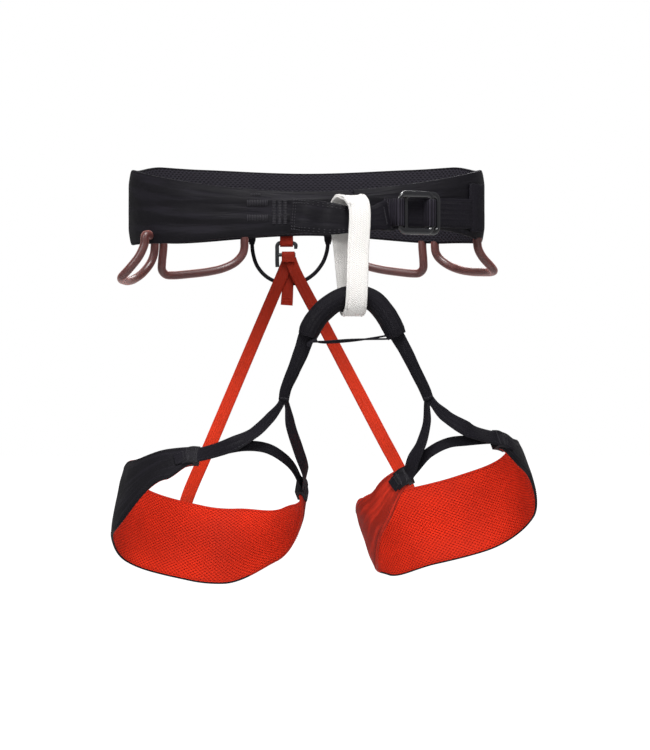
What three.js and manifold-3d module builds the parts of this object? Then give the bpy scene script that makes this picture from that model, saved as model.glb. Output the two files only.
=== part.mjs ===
// A sit harness for rock climbing: padded waist belt, two leg loops, belay loop, padded
// lower tie-in bridge, rear risers with their clip, four gear loops and a haul loop.
// Millimetres, +Z up, the wearer faces -Y. Left and right are as seen from the front, so
// left is -X. The origin is the middle of the waist opening. The harness is posed as it
// hangs on a wearer, with the two leg loops turned a little differently.
import * as THREE from "three";
import { mergeVertices } from "three/addons/utils/BufferGeometryUtils.js";
import Module from "manifold-3d";

const wasm = await Module();
wasm.setup();

// Driving dimensions.
const GAP = 0.3; // clearance between pieces that touch
const BELT = { a: 152.8, b: 84, thick: 9, open: 14.6, joint: 0.6 };
const BELT_TOP = [[0, 7.5], [98, 33], [122, 38.5], [142, 38], [180, 36]];
const BELT_BOTTOM = [
  [-180, -21], [-125, -30], [-80, -34.5], [-46, -35], [-18, -31], [0, -28], [40, -23], [90, -32], [125, -30], [180, -21],
];
const LAYERS = { shell: 1.2, web: 1.1, foam: 3.4, liner: 1.8 };
const BINDING = 1.8; // height of the edge tape above a layer's edge
const TIE_IN = { x: 37, y: -105, z: -17, height: 28, thick: 4 };
const BRIDGE = { y: -105, radius: 9.3 };
const LOOP = { width: 18, thick: 4, topRadius: 9.2, bottomRadius: 12.6 };
const TUBE = 3.8; // radius of a moulded gear loop
const WEBBING = 2; // thickness of the leg and riser webbing
const LEG_THICK = 6.2;
// A leg loop is an oval ring from one tip to the other, in degrees from its front round
// the outside of the thigh. middle is how far the pad lies above the loop's own plane, by
// the share of the way from the outer tip to the inner tip.
const LEGS = {
  left: {
    outward: -1, centre: [-84, 5, -261], a: 80, b: 87, pitch: 29.4, roll: 9, from: 13, to: 288,
    middle: [[0, 0], [0.06, -7], [0.18, -20], [0.33, -11], [0.58, 0], [0.84, 6], [1, 16]],
  },
  right: {
    outward: 1, centre: [119.4, 5, -250], a: 76.5, b: 88, pitch: 20.6, roll: 19, from: 48, to: 339,
    middle: [[0, 9], [0.08, -1], [0.27, -7], [0.52, 0], [0.67, -8], [0.79, -22], [0.89, -16], [1, -3]],
  },
};
const PAD_HEIGHT = [[0, 17], [0.06, 30], [0.23, 68], [0.4, 77], [0.66, 77], [0.8, 55], [0.92, 33], [1, 18]];
const BELT_STEPS = 50; // every layer of the belt, and of a leg pad, turns at the same places
const LEG_STEPS = 40;
const PANEL_STEP = 29; // the outer shell gives way to the inner panel here

const rad = THREE.MathUtils.degToRad;
const v3 = (x, y, z) => new THREE.Vector3(x, y, z);

const colours = {
  black_fabric: [0x1d1b20, 0.85], black_webbing: [0x201e24, 0.8], black_mesh: [0x17151a, 0.95],
  foam: [0x3c3c3f, 0.9], red_fabric: [0xb8281a, 0.8], red_mesh: [0xd42c14, 0.85],
  red_webbing: [0xc3241a, 0.75], white_webbing: [0xe9e6e2, 0.7], rubber_sleeve: [0x17151a, 0.6],
  black_metal: [0x0b0b0d, 0.25], black_plastic: [0x1a1c20, 0.5], gear_plastic: [0x7d4a44, 0.35],
};
const materials = Object.fromEntries(
  Object.entries(colours).map(([name, [color, roughness]]) => [
    name,
    new THREE.MeshStandardMaterial({
      name, color, roughness, metalness: name === "black_metal" ? 0.9 : 0,
    }),
  ]),
);

const harness = new THREE.Group();
const groups = {};
function group(name) {
  if (!groups[name]) {
    groups[name] = new THREE.Group();
    harness.add(groups[name]);
  }
  return groups[name];
}
function add(body, name, material, geometry) {
  const mesh = new THREE.Mesh(geometry, materials[material]);
  mesh.name = name;
  group(body).add(mesh);
  return mesh;
}

// A value that passes smoothly through [place, value] keys.
function smooth(keys, at) {
  if (at <= keys[0][0]) return keys[0][1];
  for (let i = 1; i < keys.length; i++) {
    const [p0, v0] = keys[i - 1];
    const [p1, v1] = keys[i];
    if (at <= p1) return v0 + (v1 - v0) * THREE.MathUtils.smoothstep(at, p0, p1);
  }
  return keys[keys.length - 1][1];
}

// A closed solid through rings that all have the same number of convex points.
function loft(rings, closed = false) {
  const m = rings[0].length;
  const position = rings.flat().flatMap((p) => [p.x, p.y, p.z]);
  const index = [];
  const last = closed ? rings.length : rings.length - 1;
  for (let i = 0; i < last; i++) {
    const j = (i + 1) % rings.length;
    for (let k = 0; k < m; k++) {
      const n = (k + 1) % m;
      index.push(i * m + k, i * m + n, j * m + n, i * m + k, j * m + n, j * m + k);
    }
  }
  if (!closed) {
    const end = (rings.length - 1) * m;
    for (let k = 1; k < m - 1; k++) {
      index.push(0, k + 1, k, end, end + k, end + k + 1);
    }
  }
  const geometry = new THREE.BufferGeometry();
  geometry.setAttribute("position", new THREE.Float32BufferAttribute(position, 3));
  geometry.setIndex(index);
  return volume(geometry) < 0 ? turnedOut(geometry) : geometry;
}
function volume(geometry) {
  const p = geometry.attributes.position;
  const corner = (i) => new THREE.Vector3().fromBufferAttribute(p, geometry.index.getX(i));
  let six = 0;
  for (let i = 0; i < geometry.index.count; i += 3) {
    six += corner(i).dot(corner(i + 1).cross(corner(i + 2)));
  }
  return six / 6;
}
function turnedOut(geometry) {
  const old = geometry.index.array;
  const index = [];
  for (let i = 0; i < old.length; i += 3) index.push(old[i], old[i + 2], old[i + 1]);
  geometry.setIndex(index);
  return geometry;
}

// A flat strap along a smooth curve. Each key holds a point, the way the strap's face looks
// there, and its width. A closed strap runs from its last key back to its first.
function strap(keys, thickness, steps, closed = false) {
  const curve = new THREE.CatmullRomCurve3(keys.map((k) => v3(...k.at)), closed, "centripetal");
  const spans = closed ? keys.length : keys.length - 1;
  const rings = [];
  const count = closed ? steps : steps + 1;
  for (let i = 0; i < count; i++) {
    const t = i / steps;
    const at = curve.getPoint(t);
    const along = curve.getTangent(t);
    const place = t * spans;
    const a = keys[Math.min(Math.floor(place), closed ? spans : spans - 1) % keys.length];
    const b = keys[(keys.indexOf(a) + 1) % keys.length];
    const share = THREE.MathUtils.smoothstep(place - keys.indexOf(a), 0, 1);
    const face = v3(...a.faces).lerp(v3(...b.faces), share);
    const across = along.clone().cross(face).normalize();
    face.copy(across).cross(along).normalize();
    const half = THREE.MathUtils.lerp(a.width, b.width, share) / 2;
    rings.push(
      [[-half, -1], [half, -1], [half, 1], [-half, 1]].map(([w, s]) =>
        at.clone().addScaledVector(across, w).addScaledVector(face, (s * thickness) / 2),
      ),
    );
  }
  return loft(rings, closed);
}

// A round bar of that radius along a curve.
function tube(curve, radius, sides, steps) {
  const circle = new THREE.Shape();
  for (let i = 0; i < sides; i++) {
    const a = ((i + 0.5) / sides) * 2 * Math.PI;
    circle[i ? "lineTo" : "moveTo"](radius * Math.cos(a), radius * Math.sin(a));
  }
  circle.closePath();
  return new THREE.ExtrudeGeometry(circle, { steps, extrudePath: curve });
}

// Booleans.
function solid(geometry) {
  const bare = new THREE.BufferGeometry();
  bare.setAttribute("position", geometry.attributes.position.clone());
  if (geometry.index) bare.setIndex(geometry.index.clone());
  const merged = mergeVertices(bare, 1e-3);
  return new wasm.Manifold(
    new wasm.Mesh({
      numProp: 3,
      vertProperties: merged.attributes.position.array,
      triVerts: new Uint32Array(merged.index.array),
    }),
  );
}
function geometryOf(manifold) {
  const mesh = manifold.getMesh();
  const geometry = new THREE.BufferGeometry();
  geometry.setAttribute("position", new THREE.BufferAttribute(mesh.vertProperties, 3));
  geometry.setIndex(new THREE.BufferAttribute(mesh.triVerts, 1));
  return geometry;
}
function joined(...geometries) {
  return geometryOf(geometries.map(solid).reduce((a, b) => a.add(b)));
}
function cut(geometry, tool) {
  return geometryOf(solid(geometry).subtract(solid(tool)));
}
function box(low, high) {
  const size = low.map((v, i) => high[i] - v);
  const middle = low.map((v, i) => (high[i] + v) / 2);
  return new THREE.BoxGeometry(...size).translate(...middle);
}

// ---- Waist belt ----
// The belt is an oval. A place on it is an angle from the front, towards the wearer's left,
// how far it lies outside the middle of the padding, and a height.
function outside(angle) {
  return v3(Math.sin(angle) / BELT.a, -Math.cos(angle) / BELT.b, 0).normalize();
}
function onBelt(degrees, out, z) {
  const angle = rad(degrees);
  return v3(BELT.a * Math.sin(angle), -BELT.b * Math.cos(angle), z).addScaledVector(outside(angle), out);
}
const fromFront = (degrees) => ((degrees + 540) % 360) - 180;
const beltTop = (degrees) => smooth(BELT_TOP, Math.abs(fromFront(degrees)));
const beltBottom = (degrees) => smooth(BELT_BOTTOM, fromFront(degrees));

// A layer of the belt between two depths; the heights are functions of the angle.
function beltLayer(from, to, low, high, inner, outer, steps = BELT_STEPS) {
  const rings = [];
  for (let i = 0; i <= steps; i++) {
    const d = from + ((to - from) * i) / steps;
    rings.push([
      onBelt(d, inner, low(d)), onBelt(d, outer, low(d)), onBelt(d, outer, high(d)), onBelt(d, inner, high(d)),
    ]);
  }
  return loft(rings);
}

function waistBelt() {
  const from = BELT.open + BELT.joint;
  const to = BELT.open - BELT.joint + 360;
  const edge = BINDING + GAP;
  const face = BELT.thick / 2;
  const low = (d) => beltBottom(d) + edge;
  const high = (d) => beltTop(d) - edge;
  const layer = (name, material, inner, outer, bottom = low, top = high) =>
    add("waist", name, material, beltLayer(from, to, bottom, top, inner, outer));
  let out = face;
  layer("waist_outer_shell", "black_fabric", out - LAYERS.shell, out);
  out -= LAYERS.shell + GAP;
  const strand = 0.3; // a webbing strand's height as a share of the belt's
  const height = (d) => high(d) - low(d);
  layer("waist_web_strand_upper", "black_webbing", out - LAYERS.web, out,
    (d) => high(d) - 3 - strand * height(d), (d) => high(d) - 3);
  layer("waist_web_strand_lower", "black_webbing", out - LAYERS.web, out,
    (d) => low(d) + 3, (d) => low(d) + 3 + strand * height(d));
  out -= LAYERS.web + GAP;
  layer("waist_foam_core", "foam", -face + LAYERS.liner + GAP, out);
  layer("waist_mesh_liner", "black_mesh", -face, -face + LAYERS.liner);
  layer("waist_binding_top", "black_webbing", -face, face, (d) => beltTop(d) - BINDING, beltTop);
  layer("waist_binding_bottom", "black_webbing", -face, face, beltBottom, (d) => beltBottom(d) + BINDING);
}

// The webbing that the belay loop hangs on. It lies on the belt at both ends and stands off
// it in the middle, and its end goes round the buckle's first bar.
function tieIn() {
  const on = BELT.thick / 2 + GAP;
  const run = (degrees, out, z, width) => ({
    at: onBelt(degrees, out, z).toArray(), faces: outside(rad(degrees)).toArray(), width,
  });
  const bulge = (-TIE_IN.y - BELT.b * Math.cos(rad(BELT.open))) - 0.6;
  add("waist", "tie_in_webbing", "black_webbing", strap([
    run(-8, on + 3.2, -12, 27),
    run(-1, on + 3.4, -13, 27),
    run(7, bulge - 2.5, -16, TIE_IN.height),
    run(BELT.open, bulge, TIE_IN.z, TIE_IN.height),
    run(21.5, bulge - 3.5, -16, 26),
    run(26.5, on + 3.4, -14, 23),
    run(29.6, on + 2.9, -12.5, 22),
  ], TIE_IN.thick, 24));
  const over = TIE_IN.thick / 2 + 0.6 + GAP + 0.3;
  add("waist", "tie_in_sleeve", "rubber_sleeve", strap([
    run(-8, on + 3.2 + over, -12, 29),
    run(-1, on + 3.4 + over, -13, 30),
    run(7, bulge - 2.5 + over + 0.3, -16, 31),
    run(13.6, bulge - 0.1 + over, -17, 25.6),
  ], 1.2, 14));
}

// The buckle: a base frame, and a gate frame in front of it that tilts. Each is a plate with
// one window that the webbing runs through.
const BUCKLE = { degrees: 36.6, z: -10.5, thick: 2.6, height: 37, window: 24, side: 4 };
function frame(left, right) {
  const r = 5;
  const corners = [[right - r, -1], [right - r, 1], [left + r, 1], [left + r, -1]];
  const points = corners.flatMap(([x, side], i) =>
    [0, 1, 2, 3].map((k) => {
      const a = ((i - 1 + k / 3) * Math.PI) / 2;
      return new THREE.Vector2(x + r * Math.cos(a), side * (BUCKLE.height / 2 - r) + r * Math.sin(a));
    }),
  );
  const plate = new THREE.ExtrudeGeometry(new THREE.Shape(points), {
    depth: BUCKLE.thick, bevelEnabled: false,
  }).rotateX(Math.PI / 2);
  const w = BUCKLE.window / 2 + 1;
  return cut(plate, box([left + BUCKLE.side, -BUCKLE.thick - 1, -w], [right - BUCKLE.side, 1, w]));
}
function buckle() {
  const normal = outside(rad(BUCKLE.degrees));
  const turn = Math.atan2(normal.x, -normal.y);
  const place = (body, name, geometry, out) => {
    const mesh = add(body, name, "black_metal", geometry);
    mesh.position.copy(onBelt(BUCKLE.degrees, out, BUCKLE.z));
    mesh.rotation.z = turn;
  };
  const base = BELT.thick / 2 + 5;
  place("waist", "buckle_base_frame", frame(-13, 21), base);
  place("buckle", "buckle_gate_frame", frame(-20, 14), base + BUCKLE.thick + 0.6);
}

// The free end of the waist webbing, and the elastic sleeve that keeps it on the belt.
function strapTail() {
  const on = BELT.thick / 2 + GAP;
  const under = on + 1;
  const edge = 12.6;
  add("waist", "waist_strap_tail", "black_webbing",
    beltLayer(44.5, 84, () => -9.5 - edge, (d) => -9.5 + edge + (d - 44.5) * 0.05, under, under + 1.8, 14));
  const sleeve = (grow, from, to) => beltLayer(from, to, () => -22.8 - 1.6 * grow,
    () => 16 + 1.6 * grow, on + 0.7 - 0.7 * grow, on + 3.6 + grow, 8);
  add("waist", "strap_keeper", "black_webbing", cut(sleeve(1, 67, 80), sleeve(0, 64, 83)));
}

// ---- Hanging loops ----
// The belay loop is a ring of webbing round the tie-in webbing and the bridge, with its
// front strand a little further to the wearer's left than its back strand.
function belayLoop() {
  const t = LOOP.topRadius;
  const b = LOOP.bottomRadius;
  const top = 2.5 - LOOP.thick / 2 - t;
  const bottom = -84.2;
  const keys = [];
  const key = (angle, radius, z) => {
    const c = Math.cos(rad(angle));
    const s = Math.sin(rad(angle));
    const low = (top - z) / (top - bottom);
    const skew = THREE.MathUtils.lerp(8, 3, low);
    keys.push({
      at: [THREE.MathUtils.lerp(37, 39.5, low) - skew * c, TIE_IN.y + radius * c, z + radius * s],
      faces: [0, c, s], width: LOOP.width,
    });
  };
  for (const angle of [0, 45, 90, 135, 180]) key(angle, t, top);
  key(180, (t + b) / 2, (top + bottom) / 2);
  for (const angle of [180, 225, 270, 315, 360]) key(angle, b, bottom);
  key(0, (t + b) / 2, (top + bottom) / 2);
  add("belay_loop", "belay_loop", "white_webbing", strap(keys, LOOP.thick, 60, true));
}

// A gear loop hangs from two points under the belt, or with its front end on the belt's
// face. Its bar bulges out and has a low, sharp front corner and a long easy rear one.
function gearLoop(name, start, end, drop, splay, onFace = false) {
  const edge = (d) => onBelt(d, 0.5, beltBottom(d) - 2.9);
  const a = onFace ? onBelt(start, BELT.thick / 2 + TUBE + 0.6, beltBottom(start) + 7) : edge(start);
  const b = edge(end);
  const outward = outside(rad((start + end) / 2)).multiplyScalar(splay);
  const at = (share, down) =>
    a.clone().lerp(b, share).addScaledVector(outward, down * down).setZ(
      THREE.MathUtils.lerp(a.z, b.z, share) - drop * down,
    );
  const points = [
    at(0, 0), at(-0.005, 0.22), at(-0.01, 0.5), at(0.0, 0.8), at(0.055, 0.96), at(0.14, 1), at(0.35, 0.99),
    at(0.58, 0.95), at(0.76, 0.86), at(0.9, 0.68), at(0.98, 0.42), at(1, 0.2), at(1, 0),
  ];
  const curve = new THREE.CatmullRomCurve3(points, false, "centripetal");
  add(name, name, "gear_plastic", tube(curve, TUBE, 8, 26));
}

function haulLoop() {
  const points = [
    [-51, -25.5], [-50, -36], [-46, -48], [-37, -58], [-24, -63.5], [-8, -63], [5, -56], [14, -45], [18, -34], [19, -25.5],
  ];
  const curve = new THREE.CatmullRomCurve3(points.map(([x, z]) => v3(x, 98.4, z)), false, "centripetal");
  add("haul_loop", "haul_loop", "black_webbing", tube(curve, 1.8, 8, 26));
}

// ---- Lower tie-in ----
const ARCH = [[1.5, -115.5], [5, -107], [13, -96], [26, -86], [42, -81.5], [56, -85.5], [66, -96], [72, -106], [76.5, -115.5]];
function bridge() {
  const arch = new THREE.CatmullRomCurve3(ARCH.map(([x, z]) => v3(x, BRIDGE.y, z)), false, "centripetal");
  add("leg_bridge", "bridge_sleeve", "rubber_sleeve", tube(arch, BRIDGE.radius, 12, 26));
  const front = [0, -1, 0];
  add("leg_bridge", "bridge_leg_left", "black_webbing", strap([
    { at: [0.3, BRIDGE.y, -116.6], faces: front, width: 14 },
    { at: [-3.5, -104, -128], faces: front, width: 13 },
    { at: [-10.5, -101, -145], faces: front, width: 11 },
    { at: [-16.8, -98, -160], faces: front, width: 9.5 },
    { at: [-18.6, -96.5, -169], faces: front, width: 9 },
  ], 5, 12));
  add("leg_bridge", "bridge_leg_right", "black_webbing", strap([
    { at: [77.5, BRIDGE.y, -116.6], faces: front, width: 14 },
    { at: [84, -104, -128], faces: front, width: 13 },
    { at: [92.5, -101, -145], faces: front, width: 11 },
    { at: [100, -98, -160], faces: front, width: 9.5 },
    { at: [103.3, -96.5, -168], faces: front, width: 9 },
  ], 5, 12));
  const cord = new THREE.CatmullRomCurve3([
    v3(1, -108.9, -121.5), v3(16, -109.2, -122.2), v3(38, -109.4, -121.6), v3(60, -109.2, -121), v3(76.5, -108.9, -120.4),
  ]);
  add("leg_bridge", "bridge_keeper_cord", "black_webbing", tube(cord, 1, 6, 12));
}

// ---- Leg loops ----
// A place on a leg loop is an angle from its front towards the outside of the thigh, a height
// from -1 to 1 across the pad, and how far it lies outside the pad's middle.
function onLeg(leg, degrees, across, out) {
  const angle = rad(degrees);
  const share = (degrees - leg.from) / (leg.to - leg.from);
  const radial = v3(leg.outward * Math.sin(angle) * leg.b, -Math.cos(angle) * leg.a, 0).normalize();
  const z = smooth(leg.middle, share) + (across * smooth(PAD_HEIGHT, share)) / 2;
  return v3(leg.outward * leg.a * Math.sin(angle), -leg.b * Math.cos(angle), z)
    .addScaledVector(radial, out)
    .applyAxisAngle(v3(1, 0, 0), -rad(leg.pitch))
    .applyAxisAngle(v3(0, 1, 0), -leg.outward * rad(leg.roll))
    .add(v3(...leg.centre));
}
const legNormal = (leg, degrees) =>
  onLeg(leg, degrees, 0, 1).sub(onLeg(leg, degrees, 0, 0)).normalize();

function legLayer(leg, from, to, low, high, inner, outer) {
  const rings = [];
  for (let i = from; i <= to; i++) {
    const share = i / LEG_STEPS;
    const d = leg.from + share * (leg.to - leg.from);
    const edge = 2 * (BINDING + GAP) / smooth(PAD_HEIGHT, share);
    const lo = low + (low < -0.99 ? edge : 0);
    const hi = high - (high > 0.99 ? edge : 0);
    rings.push([onLeg(leg, d, lo, inner), onLeg(leg, d, lo, outer), onLeg(leg, d, hi, outer), onLeg(leg, d, hi, inner)]);
  }
  return loft(rings);
}
function legBinding(leg, side) {
  const rings = [];
  for (let i = 0; i <= LEG_STEPS; i++) {
    const share = i / LEG_STEPS;
    const d = leg.from + share * (leg.to - leg.from);
    const far = side;
    const near = side * (1 - (2 * BINDING) / smooth(PAD_HEIGHT, share));
    const half = LEG_THICK / 2;
    rings.push([onLeg(leg, d, near, -half), onLeg(leg, d, near, half), onLeg(leg, d, far, half), onLeg(leg, d, far, -half)]);
  }
  return loft(rings);
}

// The webbing that joins the two tips of a leg loop to the bridge, and the elastic band
// across the front of the thigh.
const LEG_STRAPS = {
  left: {
    outer: [
      { at: [-21.2, -97, -172.8], faces: [0.5, -0.5, 0.7], width: 6 },
      { at: [-31, -94, -185], faces: [0.5, -0.6, 0.6], width: 9 },
      { at: [-44, -92, -197], faces: [0.4, -0.6, 0.7], width: 11 },
      { at: [-62, -90.5, -206.5], faces: [0.1, -1, 0.3], width: 13 },
    ],
    inner: [
      { at: [-16, -94.6, -172], faces: [1, -0.7, 0], width: 6 },
      { at: [-13, -88, -190], faces: [1, -0.8, 0], width: 12 },
      { at: [-6, -68, -213], faces: [1, -0.8, 0], width: 13 },
      { at: [-0.5, -45, -232], faces: [1, -0.6, 0], width: 13 },
    ],
    elastic: [
      { at: [-52, -87, -208], faces: [0, -1, 0.2], width: 9 },
      { at: [-33, -84, -210], faces: [0.2, -1, 0.2], width: 9 },
      { at: [-17, -72, -220], faces: [0.5, -0.8, 0.2], width: 9 },
    ],
  },
  right: {
    outer: [
      { at: [107.6, -96.4, -172], faces: [-0.5, -0.6, 0.5], width: 7 },
      { at: [118, -94, -182.5], faces: [-0.3, -0.8, 0.5], width: 11 },
      { at: [137, -88, -194], faces: [-0.1, -0.9, 0.4], width: 14 },
    ],
    inner: [
      { at: [102.2, -95, -171.4], faces: [-0.9, -0.7, 0], width: 7 },
      { at: [102, -93, -188], faces: [-0.9, -0.8, 0], width: 11 },
      { at: [97.5, -88.5, -206], faces: [-0.7, -0.9, 0], width: 10 },
      { at: [91, -83.5, -220], faces: [-0.5, -1, 0], width: 12 },
    ],
    elastic: [
      { at: [104, -83.5, -214], faces: [-0.2, -1, 0.2], width: 9 },
      { at: [120, -86, -205.5], faces: [0, -1, 0.2], width: 9 },
      { at: [136, -82.5, -203.5], faces: [0.2, -1, 0.1], width: 9 },
    ],
  },
};

function legLoop(side) {
  const leg = LEGS[side];
  const body = "leg_" + side;
  const name = (piece) => body + "_" + piece;
  const half = LEG_THICK / 2;
  const shell = half - 1.1;
  const layer = (piece, material, inner, outer, from = 0, to = LEG_STEPS, low = -1, high = 1) =>
    add(body, name(piece), material, legLayer(leg, from, to, low, high, inner, outer));
  layer("outer_shell", "black_fabric", shell, half, 0, PANEL_STEP);
  layer("inner_panel", "red_fabric", shell + 0.1, half - 0.1, PANEL_STEP, LEG_STEPS);
  layer("web_strand", "black_webbing", shell - GAP - 0.9, shell - GAP, 0, LEG_STEPS, -0.35, 0.35);
  layer("foam_core", "foam", -half + 1.7, shell - 2 * GAP - 0.9);
  layer("mesh_liner", "red_mesh", -half, -half + 1.4);
  add(body, name("binding_top"), "red_webbing", legBinding(leg, 1));
  add(body, name("binding_bottom"), "red_webbing", legBinding(leg, -1));
  // A strap key on the pad; the straps end outside the cuffs, the elastic just before them.
  const onPad = (d, out, width) => ({
    at: onLeg(leg, d, 0, out).toArray(), faces: legNormal(leg, d).toArray(), width,
  });
  const straps = LEG_STRAPS[side];
  const outer = [...straps.outer, onPad(leg.from - 5, half + 4.6, 13), onPad(leg.from + 6, half + 4.6, 13)];
  const inner = [...straps.inner, onPad(leg.to + 5, half + 3.8, 13), onPad(leg.to - 6, half + 3.8, 13)];
  const ends = [onPad(leg.from - 8.5, half + 0.9, 9), onPad(leg.to + 8.5, half + 0.9, 9)];
  const [first, last] = side === "left" ? ends : ends.reverse();
  add(body, name("strap_outer"), "black_webbing", strap(outer, WEBBING, 16));
  add(body, name("strap_inner"), "black_webbing", strap(inner, WEBBING, 16));
  add(body, name("elastic_band"), "black_webbing", strap([first, ...straps.elastic, last], 1.4, 14));
  // The sewn cuffs that hold the straps to the two tips of the pad.
  const cuff = (piece, d0, d1, out) => {
    const keys = [d0, (d0 + d1) / 2, d1].map((d) => onPad(d, out, 15));
    add(body, name(piece), "black_webbing", strap(keys, 1.6, 4));
  };
  cuff("cuff_outer", leg.from - 6, leg.from + 7, half + 1.3);
  cuff("cuff_inner", leg.to + 7, leg.to - 6, half + 1.3);
}

// ---- Rear risers ----
// The clip hooks on a tab under the belt, and the two risers run from it to the leg loops.
const CLIP = { x: -19, y: 88.5, barZ: -27.5, lowZ: -38, bar: 1.5 };
function sewnLoop(width, height, hole, x, z) {
  const ring = new THREE.Shape();
  const r = hole + 1.3;
  ring.absarc(0, 0, r, Math.PI, 2 * Math.PI);
  ring.lineTo(r, height);
  ring.lineTo(-r, height);
  ring.closePath();
  const eye = new THREE.Path();
  eye.absarc(0, 0, hole, 0, 2 * Math.PI, true);
  ring.holes.push(eye);
  return new THREE.ExtrudeGeometry(ring, { depth: width, bevelEnabled: false, curveSegments: 8 })
    .rotateX(Math.PI / 2)
    .rotateZ(Math.PI / 2)
    .translate(x - width / 2, CLIP.y, z);
}
function risers() {
  const b = CLIP.bar;
  const bar = (x0, x1, z0, z1) => box([x0, CLIP.y - b, z0], [x1, CLIP.y + b, z1]);
  add("waist", "rear_riser_tab", "red_webbing", sewnLoop(12, 5.2, b + 1.1, CLIP.x, CLIP.barZ));
  add("risers", "riser_clip", "black_plastic", joined(
    bar(-29, -26, -50, CLIP.barZ + b),
    bar(-29, -9.5, CLIP.barZ - b + 0.3, CLIP.barZ + b - 0.3),
    bar(-11.5, -9.5, CLIP.barZ - 6, CLIP.barZ + b - 0.3),
    bar(-29, -10.5, CLIP.lowZ - b, CLIP.lowZ + b),
  ));
  const eye = sewnLoop(12, 5, b + 0.9, CLIP.x + 1.6, CLIP.lowZ);
  eye.translate(0, -CLIP.y, -CLIP.lowZ).rotateX(Math.PI).translate(0, CLIP.y, CLIP.lowZ);
  add("risers", "riser_top_eye", "red_webbing", eye);
  const back = [0, 1, 0];
  const run = (side, startX, y, degrees) => {
    const leg = LEGS[side];
    const end = (across) => onLeg(leg, degrees, across, LEG_THICK / 2 + 2.4);
    const tip = end(0.62);
    const edge = end(1.1);
    const from = v3(startX, y, CLIP.lowZ - 7.6);
    const down = (share) => from.clone().lerp(edge, share).toArray();
    const flat = legNormal(leg, degrees).toArray();
    add("risers", "riser_" + side, "red_webbing", strap([
      { at: down(0), faces: back, width: 11 },
      { at: down(0.3), faces: back, width: 11.5 },
      { at: down(0.75), faces: back, width: 12 },
      { at: edge.toArray(), faces: flat, width: 12.5 },
      { at: tip.toArray(), faces: flat, width: 12.5 },
    ], 1.5, 16));
  };
  run("left", CLIP.x + 0.5, CLIP.y + 2.4, 162);
  run("right", CLIP.x + 4, CLIP.y, 198);
  add("risers", "riser_tail", "red_webbing", strap([
    { at: [CLIP.x + 3, CLIP.y + 4.4, CLIP.lowZ - 6.6], faces: back, width: 10 },
    { at: [CLIP.x + 1.5, CLIP.y + 5.0, -62], faces: back, width: 10 },
    { at: [CLIP.x, CLIP.y + 5.6, -84], faces: back, width: 11 },
  ], 1.5, 6));
}

waistBelt();
tieIn();
buckle();
strapTail();
belayLoop();
gearLoop("gear_loop_front_left", -60, -117, 36, 22, true);
gearLoop("gear_loop_rear_left", -122.5, -158, 26, 5);
gearLoop("gear_loop_front_right", 77, 131, 24, 20);
gearLoop("gear_loop_rear_right", 137, 166, 25, 4);
haulLoop();
bridge();
legLoop("left");
legLoop("right");
risers();

export default harness;
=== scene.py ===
"""Looks for the climbing harness: webbing, pads, mesh, stitching and hardware laid on the
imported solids. Metres, +Z up, the wearer faces -Y; left is -X, as seen from the front."""

from math import asin, cos, degrees, exp, pi, radians, sin, sqrt

import bpy
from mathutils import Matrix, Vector, noise


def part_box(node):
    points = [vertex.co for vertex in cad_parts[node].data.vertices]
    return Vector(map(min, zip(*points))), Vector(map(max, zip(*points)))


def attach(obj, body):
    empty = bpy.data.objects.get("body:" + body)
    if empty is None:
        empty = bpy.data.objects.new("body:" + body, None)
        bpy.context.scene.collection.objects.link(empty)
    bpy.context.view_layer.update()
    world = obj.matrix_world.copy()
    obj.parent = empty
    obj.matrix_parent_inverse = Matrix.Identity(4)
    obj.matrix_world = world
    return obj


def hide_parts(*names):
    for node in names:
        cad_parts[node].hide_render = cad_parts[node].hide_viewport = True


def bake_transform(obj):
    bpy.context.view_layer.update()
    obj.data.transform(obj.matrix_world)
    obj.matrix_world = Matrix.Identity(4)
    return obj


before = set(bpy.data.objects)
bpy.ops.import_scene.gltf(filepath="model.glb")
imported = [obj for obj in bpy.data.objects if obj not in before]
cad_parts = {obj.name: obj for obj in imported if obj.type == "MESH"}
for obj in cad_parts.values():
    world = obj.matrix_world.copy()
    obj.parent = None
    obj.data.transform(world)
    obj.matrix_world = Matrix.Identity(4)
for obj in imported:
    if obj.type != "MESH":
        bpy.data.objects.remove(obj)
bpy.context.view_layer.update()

MM = 0.001
UP = Vector((0, 0, 1))
FRONT = Vector((0, -1, 0))
BACK = Vector((0, 1, 0))
NEAR = 1e-3  # a small step along a curve or a pad, for the way it runs there

# The studio, in metres.
CAMERA_PLACE = Vector((0.0162, -2.2, -0.148))
FLOOR_Z = -1.2
FLOOR_HALF = 30
LIGHT_AIM = Vector((0, 0, -0.12))
ROOM_LIGHT = 0.26  # how strongly the pale room lights the harness
FLOOR_LIGHT = 0.1  # how strongly the floor lights the harness
FLOOR_SEEN = 0.9  # how bright the floor looks by itself


def mm(x, y, z):
    return Vector((x, y, z)) * MM


# ---- Camera, floor and light ----
def make_camera():
    """Level, in front of the harness, far enough for little perspective."""
    data = bpy.data.cameras.new("camera")
    data.lens = 120
    data.sensor_fit = "VERTICAL"
    data.sensor_height = 36
    camera = bpy.data.objects.new("camera", data)
    camera.location = CAMERA_PLACE
    camera.rotation_euler = (radians(90), 0, 0)
    bpy.context.scene.collection.objects.link(camera)
    bpy.context.scene.camera = camera


def make_light(name, place, size, power):
    """A round area lamp that faces the harness's middle; place and size are in metres."""
    data = bpy.data.lights.new(name, "AREA")
    data.shape = "DISK"
    data.size = size
    data.energy = power
    light = bpy.data.objects.new(name, data)
    light.location = place
    light.rotation_euler = (LIGHT_AIM - light.location).to_track_quat("-Z", "Y").to_euler()
    bpy.context.scene.collection.objects.link(light)


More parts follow.
